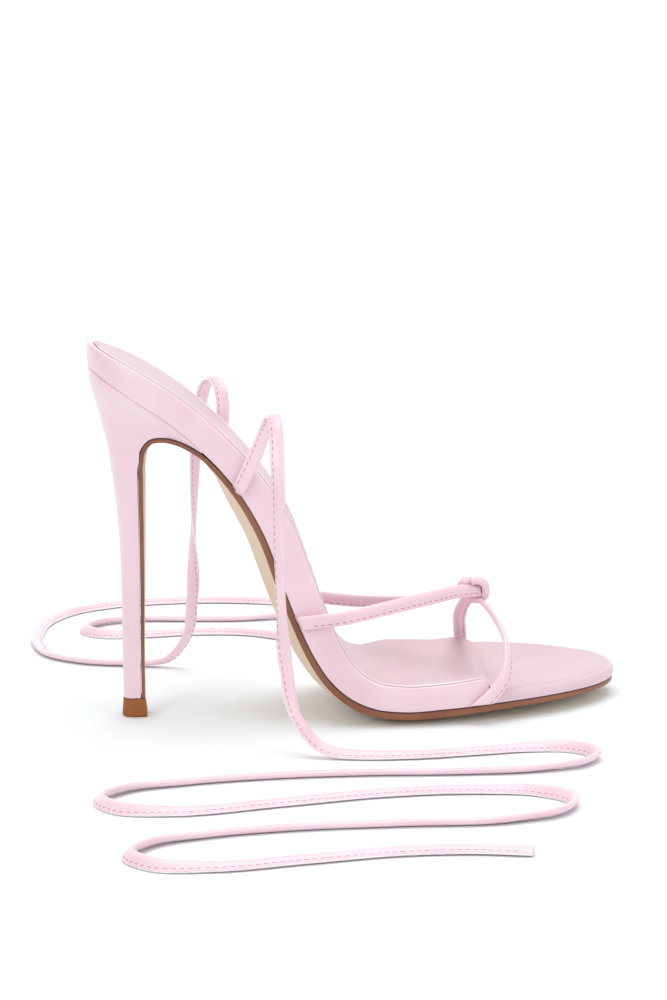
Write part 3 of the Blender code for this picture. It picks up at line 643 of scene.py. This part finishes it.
def way_round(inset, share, front, skew=0.0):
    """Plan of a footbed layer: s and y of a grid, whose rows go round the outline and columns inwards.

    In the round heel the angle a gives s = R - (R - inset) share cos a and y = half share sin a. Along
    the sides s runs on to the front and y is half times share. inset and share are one value a column.
    The outer side, where y is below 0, ends by skew before the front.
    """
    angle = np.linspace(0, math.pi / 2, ROUND_STEPS)[:-1]
    straight = np.linspace(HEEL_ROUND, front, SIDE_STEPS)
    outer = np.linspace(HEEL_ROUND, front - skew, SIDE_STEPS)
    inset = np.asarray(inset, float)[None, :]
    share = np.asarray(share, float)[None, :]
    s_round = HEEL_ROUND - (HEEL_ROUND - inset) * share * np.cos(angle)[:, None]
    y_round = (last.read("half", s_round) - inset) * share * np.sin(angle)[:, None]
    inner_s = np.broadcast_to(straight[:, None], (SIDE_STEPS, inset.shape[1]))
    outer_s = straight[:, None] + (outer - straight)[:, None] * share
    s_inner = np.concatenate([s_round, inner_s])
    s_outer = np.concatenate([s_round, outer_s])
    y_inner = np.concatenate([y_round, (outline(inner_s) - inset) * share])
    y_outer = np.concatenate([y_round, (outline(outer_s) - inset) * share])
    s = np.concatenate([s_outer[::-1], s_inner[1:]])
    y = np.concatenate([-y_outer[::-1], y_inner[1:]])
    return s, y


# Slack of the far wall's rim over the plain last: how much higher it stands at x
WAVE_X = (-26, -20, -14, -10, -6, -2, 2, 6, 10, 15, 20, 25, 30, 36, 40, 43, 45)
WAVE_UP = (0, -1.3, -2.9, -3.6, -3.3, -2.3, -1.1, 0.3, 1.6, 2.0, 1.7, 0.9, 0.1, -0.3, -0.5, -1.1, -1.8)
# The open forepart's inner edge is drawn up a little in the same way
BOARD_X = (45, 52, 60, 70, 80, 88, 93.5)
BOARD_UP = (2.7, 2.4, 1.9, 1.4, 1.0, 0.5, 0)


def rim_wave(s, y):
    """Lift of the inner side's rim at s, fading to nothing at the middle line."""
    fine = np.linspace(-26, 45, 400)
    soft = smooth(np.array(WAVE_X, float), np.array(WAVE_UP, float), fine)
    return np.interp(last.read("x", s), fine, soft) * width_share(s, y) ** 4


def board_wave(s, y):
    """Lift of the open forepart's inner side at s, fading in the same way."""
    return np.interp(last.read("x", s), BOARD_X, BOARD_UP) * width_share(s, y) ** 2


def wall_top(s, y):
    """Height of the wall, which ends in a quarter of a circle at the front."""
    front = S_RIM_FRONT - RIM_SKEW * (y < 0)
    end = np.clip((s - (front - WALL_END)) / WALL_END, 0, 1)
    return last.read("wall", s) - WALL_END * (1 - np.sqrt(1 - end ** 2))


def wide_rim(s):
    """How much wider the rim is round the very back of the heel."""
    return RIM_WIDER * ease(1 - s / RIM_WIDER_TO)


def bed_height(s, share):
    """Height of the sock's bed over the seam, from its edge (share 1) to the middle (share 0)."""
    return last.read("wall", s) - RIM_STEP - last.read("dish", s) * (1 - np.abs(share) ** 3)


def footbed():
    """Footbed: crowned underside, bulged wall, rounded top edge, rim, step and bed, round the outline.

    At the ball the wall leans in at its top and its edge is rounder.
    """
    under = np.linspace(0, 1, 9)[:-1]
    wall = ((0.0, 0.0), (-0.2, 0.08), (-0.32, 0.2), (-0.39, 0.35), (-0.4, 0.5), (-0.33, 0.65), (-0.2, 0.78))
    corner = ((0.0, -1.0), (0.12, -0.62), (0.32, -0.33), (0.6, -0.13), (0.95, -0.02), (1.35, 0.0),
              (1.6, -0.04), (1.78, -0.16), (1.86, -0.36), (1.88, -0.9))
    lean = 1.3 * np.array((0, 0, 0.02, 0.06, 0.15, 0.28, 0.4, 0.45, 0.43, 0.38, 0.3, 0.2, 0.07))
    bed = np.linspace(1, 0, 6)
    sides = np.array(wall + corner)
    inset = np.concatenate([0 * under, sides[:, 0], np.full(len(bed), 1.9)])
    share = np.concatenate([under, np.ones(len(sides)), bed])
    s, y = way_round(inset, share, S_RIM_FRONT, skew=RIM_SKEW)
    # Columns: the underside ends at foot, the wall at top_edge and the rounded edge at inside
    foot = len(under)
    top_edge = foot + len(wall)
    inside = foot + len(sides)
    rim = top_edge + 5
    leaning = slice(foot, foot + len(lean))
    s[:, rim:] += wide_rim(s[:, rim:])
    at_ball = ease(last.read("x", s) / 14)
    y[:, leaning] -= np.sign(y[:, leaning]) * at_ball[:, leaning] * lean
    top = wall_top(s, y)
    v = np.zeros_like(s)
    v[:, :foot] = -last.read("crown", s[:, :foot]) * (1 - under ** 2)
    v[:, foot:top_edge] = sides[:len(wall), 1] * top[:, foot:top_edge]
    v[:, top_edge:inside] = (top[:, top_edge:inside]
                             + sides[len(wall):, 1] * (1 + 0.5 * at_ball[:, top_edge:inside]))
    v[:, inside:] = np.minimum(bed_height(s[:, inside:], bed), top[:, inside:] - RIM_STEP)
    v[:, foot:] += rim_wave(s, y)[:, foot:] * np.clip(v[:, foot:] / top[:, foot:], 0, 1)
    faces = [*grid_faces(*s.shape), *close_front(*s.shape)]
    piece = put_mesh("footbed_cover", on_last(s, y, v), faces, [PINK])
    finish_piece(piece, ("footbed",), angle=50)


RAW_FROM = 5.0              # no raw edge shows closer to the back of the heel


def sock():
    """Sock: padded sheet on the bed with a low cut edge all round, thinned to the forepart in front."""
    front = S_RIM_FRONT + 0.2
    under = np.linspace(0, 1, 7)[:-1]
    edge_inset = (RIM, RIM, RIM + 0.02, RIM + 0.1, RIM + 0.3)
    edge_height = (0.0, 0.5, 0.85, 0.97, 1.0)
    over = np.linspace(1, 0, 25)[1:]
    inset = np.concatenate([np.full(len(under), RIM), edge_inset, np.full(len(over), RIM + 0.3)])
    share = np.concatenate([under, np.ones(len(edge_inset)), over])
    s, y = way_round(inset, share, front)
    s = s + wide_rim(s)
    base = bed_height(s, share[None, :]) + GAP
    thick = np.concatenate([0 * under, edge_height, np.ones(len(over))])
    pad = 0.25 * (1 - share ** 6) + 0.12
    tall = SOCK - 0.7 + 2 * pad
    to_front = ease((s - (front - 4)) / 4)
    flat = TOE_BOARD + 0.3 + 0 * s
    v = base + thick * tall
    lower = v * (1 - to_front) + flat * to_front
    upper = v * (1 - to_front) + (flat + 0.35 * thick) * to_front
    v = np.where(thick > 0, upper, np.minimum(v, lower))
    v = v + rim_wave(s, y) * (1 - to_front) + board_wave(s, y) * to_front
    # The raw edge shows on the outer side, one column wider at the ball, and up the shank on the inner side
    rows, columns = s.shape
    column = np.arange(columns - 1)[None, :]
    outer = np.arange(rows - 1)[:, None] < rows // 2
    at = last.read("x", s[:-1, :-1])
    raw = (outer | (at < 0)) & (s[:-1, :-1] > RAW_FROM)
    raw &= (column >= len(under) + 2) & (column < len(under) + 5 + (outer & (at > 8)))
    faces = [*grid_faces(rows, columns), *close_front(rows, columns)]
    piece = put_mesh("sock_lining", on_last(s, y, v), faces, [SOCK_PINK, RAW_EDGE], np.append(raw.ravel(), 0))
    finish_piece(piece, ("sock",), angle=60)


def toe_insole():
    """Open forepart: board with a softly wrapped edge, laid out from a centre line to the toe's ellipse."""
    start = RIM_FRONT_X + SEAM
    pole = 64.0
    toe_long = TOE_TIP_X - TOE_ROUND_X
    from_turn = np.arcsin((np.array([start - RIM_SKEW, start]) - TOE_ROUND_X) / toe_long)
    outer, inner = np.linspace(from_turn, math.pi / 2, 60).T
    back = (math.pi - inner[::-1])[1:]
    turn = np.concatenate([outer, back])
    x_edge = TOE_ROUND_X + toe_long * np.sin(turn)
    y_edge = -last.read("half", at_x(x_edge)) * np.cos(turn)
    x_mid = np.minimum(TOE_ROUND_X + toe_long * np.sin(np.concatenate([inner, back])), pole)
    reach = np.hypot(x_edge - x_mid, y_edge)
    under = np.linspace(0, 1, 9)[:-1]
    edge = ((0.0, 0.0), (-0.12, 0.1), (-0.2, 0.25), (-0.18, 0.4), (-0.05, 0.55), (0.2, 0.7), (0.6, 0.82),
            (1.2, 0.91), (2.0, 0.97), (3.0, 1.0))
    over = np.linspace(1, 0, 22)[1:]
    step_in, step_up = np.array(edge).T
    inset = np.concatenate([0 * under, step_in, np.full(len(over), step_in[-1])])
    share = np.concatenate([under, np.ones(len(edge)), over])
    high = np.concatenate([0 * under, step_up, np.ones(len(over))])
    at_tip = ease((x_edge - 80) / 12)[:, None]
    k = share[None, :] * (1 - (inset - 0.45 * at_tip * np.sin(math.pi * high)) / reach[:, None])
    x = x_mid[:, None] + k * (x_edge - x_mid)[:, None]
    y = k * y_edge[:, None]
    s = at_x(x)
    column = np.arange(s.shape[1])
    crown = last.read("crown", s) * (1 - width_share(s, np.abs(y)) ** 2) * (column < len(under))
    hollow = 0.35 * (1 - share ** 2) * (column > len(under))
    v = (TOE_BOARD + board_wave(s, y) + 0.7 * at_tip * share ** 2) * high - crown - hollow
    # The wrapped edge's columns take the lighter pink: painted light on the side face
    wrapped = (column[:-1] >= len(under) - 1) & (column[:-1] < len(under) + 7)
    which = np.append(np.tile(wrapped, len(s) - 1), 1)
    faces = [*grid_faces(*s.shape), *close_front(*s.shape)]
    piece = put_mesh("toe_board_cover", on_last(s, y, v), faces, [SOCK_PINK, WRAP_LIT_PINK], which)
    finish_piece(piece, ("toe_insole",), angle=55)


SOLE_EDGE = ((0.0, 0.0), (0.09, 0.1), (0.13, 0.3), (0.13, 0.55), (0.1, 0.75), (0.0, 0.92), (-0.16, 1.0))
UPPER_POINTS = 7            # of a sole's ring that lie between its edges, on top
UNDER_POINTS = 17           # and below


def sole_rings(place, s, half, crown, belly, sole):
    """Rings of the outsole: its upper face, its rounded edge and its under face, all from share of width."""
    edge = np.maximum(0.6, half - EDGE_INSET)[:, None]
    over = np.linspace(-1, 1, UPPER_POINTS + 2)[None, :] * edge
    upper = np.stack([over, -GAP - crown[:, None] * (1 - (over / half[:, None]) ** 2)], axis=-1)
    step = np.array(SOLE_EDGE)
    right = np.stack([edge + step[None, :, 0], -GAP - sole[:, None] * step[None, :, 1]], axis=-1)
    inner_edge = edge - 0.4
    down = np.linspace(1, -1, UNDER_POINTS)[None, :] * inner_edge
    face_drop = (crown + belly)[:, None] * (1 - (down / half[:, None]) ** 2)
    under = np.stack([down, -GAP - sole[:, None] - face_drop], axis=-1)
    left = right[:, ::-1] * np.array([-1, 1])
    ring = np.concatenate([upper[:, 1:-1], right, under, left], axis=1)
    points = place(s[:, None], ring[..., 0], ring[..., 1])
    points[..., 2] = np.maximum(points[..., 2], 0.02)
    return points


def outsole():
    """Outsole: one strip down the heel's front, over the arch and along the foot to the toe."""
    up_heel = np.concatenate([np.linspace(0, breast.knots[3], 40)[:-1],
                              np.linspace(breast.knots[3], breast.knots[-1], 110)[:-1]])
    first = sole_rings(on_breast, up_heel, breast.read("half", up_heel), breast.read("crown", up_heel),
                       breast.read("belly", up_heel), breast.read("sole", up_heel))
    start = float(at_x(BREAST[-1].x))
    along = np.concatenate([np.linspace(start, S_TOE_ROUND, 120)[:-1],
                            S_TOE_ROUND + (S_TOE_TIP - 0.04 - S_TOE_ROUND)
                            * np.sin(np.linspace(0, math.pi / 2, 70))])
    half = np.maximum(outline(along), 0.7)
    second = sole_rings(on_last, along, half, last.read("crown", along), 0 * along, last.read("sole", along))
    points = np.concatenate([first, second])
    rows, columns = points.shape[:2]
    faces = grid_faces(rows, columns, wrap_columns=True)
    under = UPPER_POINTS + len(SOLE_EDGE)
    paint = np.zeros(columns, int)
    paint[under:under + UNDER_POINTS - 1] = 1
    paint[[UPPER_POINTS, UPPER_POINTS + 1, -2, -1]] = 2
    piece = put_mesh("sole_strip", points, [*faces, *end_caps(rows, columns)],
                     [EDGE_PAINT, SOLE_LEATHER, EDGE_DARK], np.append(np.tile(paint, rows - 1), (0, 0)))
    finish_piece(piece, ("outsole",), angle=60)


def half_round(t):
    """Half width along a section's length, as a share: a rounded back up to 0.6, then full width."""
    return np.sqrt(np.clip(1 - np.clip(1 - t / 0.6, 0, 1) ** 2, 0, 1))


def d_shares(count):
    """Shares of a section's length, closer together at its back."""
    return 1 - np.cos(np.linspace(0, math.pi / 2, count))


def d_ring(points_right, points_left):
    """Ring from the back's middle along one side to the front and back along the other."""
    return np.concatenate([points_right, points_left[:, ::-1][:, :-1]], axis=1)


def heel():
    """Covered heel: D-shaped sections through its front and back lines, and its seat under the footbed.

    Up the heel the sections rise more and more from flat planes to the footbed's curved seam and outline.
    """
    over_arch = np.linspace(breast.knots[7], breast.length, 400)
    top = float(np.interp(HEEL_TOP_X, breast.read("x", over_arch), over_arch))
    s = np.concatenate([np.linspace(0, breast.knots[3], 40)[:-1], np.linspace(breast.knots[3], top, 90)])
    t = d_shares(22)[None, :]
    x = breast.read("back_x", s)[:, None] * (1 - t) + breast.read("x", s)[:, None] * t
    z = breast.read("back_z", s)[:, None] * (1 - t) + breast.read("z", s)[:, None] * t
    half = breast.read("half", s)[:, None] * half_round(t)
    seat_s = float(at_x(HEEL_TOP_X + 0.5)) * t
    rise = ease((s - breast.knots[5]) / (top - breast.knots[5]))[:, None]
    z = z + (last.read("z", seat_s) - SEAM - z[-1:]) * rise
    half = half + (outline(seat_s) - half[-1:]) * rise
    middle = breast.read("middle", s)[:, None] * t
    sections = d_ring(np.stack([x, middle + half, z], axis=-1), np.stack([x, middle - half, z], axis=-1))
    seat = d_ring(on_last(seat_s, outline(seat_s), -SEAM), on_last(seat_s, -outline(seat_s), -SEAM))
    points = np.concatenate([sections, seat])
    rows, columns = points.shape[:2]
    # The seat and the foot are closed with strips from side to side, each with a triangle at its back
    k = np.arange(columns // 2)
    strips = np.stack([k, k + 1, (columns - k - 1) % columns, (columns - k) % columns], axis=1)
    strips = np.concatenate([strips + (rows - 1) * columns, strips[:, [1, 0, 3, 2]]])
    closed = [tuple(dict.fromkeys(strip)) for strip in strips.tolist()]
    faces = [*grid_faces(rows, columns, wrap_columns=True), *closed]
    piece = put_mesh("heel_cover", points, faces, [PINK])
    finish_piece(piece, ("heel",), angle=45)


def heel_tip():
    """Heel tip: D-shaped rubber block that widens to the floor, with a small worn round at its foot."""
    levels = np.array([(0.06, 0.5), (0.12, 0.25), (0.35, 0.05), (0.8, 0.0), (2.2, 0.12), (4.0, 0.36),
                       (5.6, 0.5), (6.4, 0.56), (6.65, 0.66), (6.7, 0.9)])
    t = d_shares(20)[None, :]
    inset = levels[:, 1:]
    back = TIP_BACK_X + inset
    x = back + (TIP_FRONT_X - inset - back) * t
    half = (TIP_HALF - inset) * half_round(t)
    z = np.broadcast_to(levels[:, :1], x.shape)
    points = d_ring(np.stack([x, half, z], axis=-1), np.stack([x, -half, z], axis=-1))
    rows, columns = points.shape[:2]
    faces = [*grid_faces(rows, columns, wrap_columns=True), *end_caps(rows, columns)]
    piece = put_mesh("heel_tip", points, faces, [TIP_RUBBER])
    finish_piece(piece, ("top_piece",), angle=50)


footbed()
sock()
toe_insole()
outsole()
heel()
heel_tip()


def wall_out(x, side):
    """Y of a strap's middle where it lies against the wall: side -1 is outer, 1 inner."""
    s = at_x(x)
    return float(last.read("middle", s) + side * (outline(s) + WALL_BULGE + GAP + STRAP_THICK / 2))


# Bends of the straps: the place, then the way that the strap's face points there
REAR_OUTER_Y = wall_out(-20.2, -1)
REAR_INNER_Y = wall_out(-20.2, 1)
FRONT_OUTER_Y = wall_out(38.0, -1)
FRONT_INNER_Y = wall_out(38.0, 1)
REAR_OUTER = (
    (-24.0, REAR_OUTER_Y + 0.2, 37.3, 0, -1, 0),
    (-20.6, REAR_OUTER_Y - 0.2, 37.6, 0, -1, 0),
    (-16.5, REAR_OUTER_Y - 0.5, 37.9, 0, -1, 0),
    (-8.0, REAR_OUTER_Y - 0.7, 38.6, 0, -1, 0.1),
    (2.0, -27.8, 39.8, 0, -1, 0.15),
    (14.0, -23.4, 41.2, 0, -1, 0.25),
    (26.0, -16.2, 41.9, 0, -1, 0.35),
    (36.0, -8.6, 42.0, 0, -1, 0.45),
    (44.3, -3.8, 41.2, 0, -1, 0.45),
)
REAR_INNER = (
    (-24.0, REAR_INNER_Y - 0.2, 36.9, 0, 1, 0),
    (-20.6, REAR_INNER_Y + 0.2, 36.2, 0, 1, 0),
    (-16.5, REAR_INNER_Y + 0.5, 35.4, 0, 1, 0),
    (-8.0, REAR_INNER_Y + 0.9, 33.7, 0, 1, 0.1),
    (2.0, 28.2, 32.6, 0, 1, 0.2),
    (12.0, 24.6, 32.7, 0, 1, 0.4),
    (22.0, 18.6, 33.8, 0, 1, 0.6),
    (32.0, 10.6, 36.4, 0, 1, 0.8),
    (41.5, 2.4, 40.4, 0, 0.8, 1),
)
FRONT = (
    (37.0, FRONT_OUTER_Y + 0.2, 4.9, 0, -1, 0),
    (40.2, FRONT_OUTER_Y - 0.2, 7.4, 0, -1, 0),
    (44.6, FRONT_OUTER_Y - 0.4, 11.6, 0, -1, 0),
    (48.2, FRONT_OUTER_Y + 0.9, 15.9, 0.35, -1, 0.1),
    (50.2, -33.6, 20.2, 1, -0.9, 0.2),
    (50.7, -28.4, 24.2, 1, -0.35, 0.25),
    (50.3, -22.4, 28.4, 1, -0.1, 0.2),
    (48.5, -15.4, 32.6, 1, 0.1, 0.3),
    (46.2, -8.0, 36.0, 0.9, 0, 0.7),
    (43.6, -1.0, 37.4, 0.5, 0, 1),
    (40.9, 5.4, 35.8, 0.2, 0.4, 1),
    (39.6, 11.6, 32.2, 0.1, 0.8, 1),
    (39.4, 18.6, 27.6, 0.1, 0.8, 1),
    (40.0, 26.4, 23.6, 0, 0.9, 1),
    (41.0, 34.2, 20.2, 0, 1, 0.9),
    (41.7, FRONT_INNER_Y + 0.3, 15.4, 0, 1, 0.15),
    (42.0, FRONT_INNER_Y, 9.2, 0, 1, 0),
    (42.0, FRONT_INNER_Y, 5.0, 0, 1, 0),
)
# The knot's loop winds once and a bit round the crossing straps; it starts over its own tucked end
KNOT_X = 42.4
KNOT_Z = 42.0
LOOP = ((41.0, -5.0, 45.0), (43.6, -5.0, 45.2), (45.8, -4.4, 43.8), (46.6, -3.8, 41.0), (45.7, -2.4, 38.6),
        (43.2, -0.2, 37.5), (40.2, 1.0, 38.4), (38.1, 0.6, 40.6), (37.8, -1.2, 43.1), (39.3, -3.0, 44.7),
        (41.9, -2.8, 44.7))
LOOP_THICK = 1.4            # the loop is this much thicker than the other straps
CORE = ((42.6, -0.9, 41.6), (4.0, 2.9, 3.6))
SUNK_LENGTH = 16.0          # of a strap's end that goes into the seam
SUNK_REACH = 5.0            # and how far it goes
STITCH_SUNK = 5.8           # the stitches start this far from such an end
STITCH_FREE = 0.8           # and this far from a free one


def strap(name, bends, count, flip=1, sunk=(False, False), thick=1.0, stitched=True):
    """Folded strap along its bends; flip puts the stitched flange on the other side of the roll.

    sunk says for either end whether it goes into the seam over the sole. Without stitches the strap's ends
    aren't raw either.
    """
    path = curve_through(bends, count)
    places, out = path[:, :3], path[:, 3:]
    along = unit(np.gradient(places, axis=0))
    side = np.cross(along, unit(out - along * np.sum(out * along, axis=1)[:, None])) * flip
    lengths = way_along(places)
    tucked = sunk[0] & (lengths < SUNK_LENGTH) | sunk[1] & (lengths[-1] - lengths < SUNK_LENGTH)
    piece, side, face, lengths = sweep(name, places, side, [STRAP_PINK, RAW_EDGE if stitched else STRAP_PINK],
                                       tucked, SUNK_REACH, thick)
    finish_piece(piece, ("toe_straps",))
    if stitched:
        start, end = (STITCH_SUNK if into_seam else STITCH_FREE for into_seam in sunk)
        row = stitches(name + "_stitches", places, side, face, lengths, start, lengths[-1] - end)
        finish_piece(row)


def knot():
    """The knot: a thick loop of the same strap, wound round a leather core.

    The core is an ellipsoid: middle + reach times the unit direction, with a slow ripple of 5 %.
    """
    centre = np.array([KNOT_X, 0, KNOT_Z])
    bends = [(x, y, z, *unit(np.array([x, 0, z]) - centre)) for x, y, z in LOOP]
    strap("knot_loop", bends, 140, thick=LOOP_THICK, stitched=False)
    turn = np.linspace(0, 2 * math.pi, 49)[None, :-1]
    tilt = np.linspace(0.02, math.pi - 0.02, 26)[:, None]
    ripple = 1 + 0.05 * np.sin(3 * turn + 2 * tilt)
    way = np.stack(np.broadcast_arrays(np.sin(tilt) * np.cos(turn) * ripple, np.cos(tilt) + 0 * turn,
                                       np.sin(tilt) * np.sin(turn) * ripple), axis=-1)
    points = np.array(CORE[0]) + way * np.array(CORE[1])
    rows, columns = way.shape[:2]
    faces = [*grid_faces(rows, columns, wrap_columns=True), *end_caps(rows, columns)]
    finish_piece(put_mesh("knot_core", points, faces, [STRAP_PINK]), ("toe_straps",))


strap("rear_strap_outer", REAR_OUTER, 180, flip=-1, sunk=(True, False))
strap("rear_strap_inner", REAR_INNER, 180, flip=1, sunk=(True, False))
strap("front_strap", FRONT, 260, flip=-1, sunk=(True, True))
knot()


# The backdrop's glow grows from none at 0.3 m behind the shoe to 0.6 at 2 m
GLOW = {"From Min": 0.3, "From Max": 2.0, "To Min": 0.0, "To Max": 0.6}


def put_stage():
    """Pale floor that curves up far behind the shoe: y = 2.2 + 1.2 sin t, z = 1.2 - 1.2 cos t, in metres."""
    reach = np.array([-2.5, 0.0, 2.2])
    turn = np.linspace(0, math.pi / 2, 24)
    y = np.concatenate([reach, 2.2 + 1.2 * np.sin(turn)[1:], [3.4]])
    z = np.concatenate([np.zeros(3), 1.2 - 1.2 * np.cos(turn)[1:], [3.6]])
    x = np.array([-4.0, 4.0])
    points = np.stack(np.broadcast_arrays(x[None, :], y[:, None], z[:, None]), axis=-1) / MM
    material = bpy.data.materials.new("pale_floor")
    material.use_nodes = True
    shader = material.node_tree.nodes["Principled BSDF"]
    set_inputs(shader, {"Base Color": (0.88, 0.92, 0.94, 1), "Roughness": 0.9, "Specular IOR Level": 0.1,
                        "Emission Color": (1, 1, 1, 1)})
    place, split, glow = (material.node_tree.nodes.new("ShaderNode" + kind)
                          for kind in ("TexCoord", "SeparateXYZ", "MapRange"))
    set_inputs(glow, GLOW)
    link_nodes(material.node_tree, (place.outputs["Object"], split.inputs["Vector"]),
               (split.outputs["Y"], glow.inputs["Value"]),
               (glow.outputs["Result"], shader.inputs["Emission Strength"]))
    floor = put_mesh("floor", points, grid_faces(len(y), 2), [material])


def area_light(name, place, aim, size, power):
    """Round lamp at a place in metres, turned to what it aims at."""
    lamp = bpy.data.lights.new(name, "AREA")
    lamp.shape = "DISK"
    lamp.size = size
    lamp.energy = power
    light = put_object(name, lamp)
    light.location = place
    light.rotation_euler = (Vector(aim) - Vector(place)).to_track_quat("-Z", "Y").to_euler()


def put_lights():
    """Even white surroundings, one large lamp overhead and one from either side of the camera."""
    world = bpy.data.worlds.new("studio")
    world.use_nodes = True
    set_inputs(world.node_tree.nodes["Background"], {"Color": (1, 1, 1, 1), "Strength": 0.6})
    bpy.context.scene.world = world
    area_light("overhead", (0.1, 0.1, 1.6), (0, 0, 0.05), 1.4, 13)
    area_light("front_left", (-1.0, -1.2, 0.9), (0, 0, 0.06), 0.9, 5.8)
    area_light("front_right", (1.1, -1.0, 0.7), (0, 0, 0.05), 0.9, 3.6)
    bpy.context.scene.view_settings.view_transform = "Standard"
    bpy.context.scene.view_settings.look = "None"


put_stage()
put_lights()
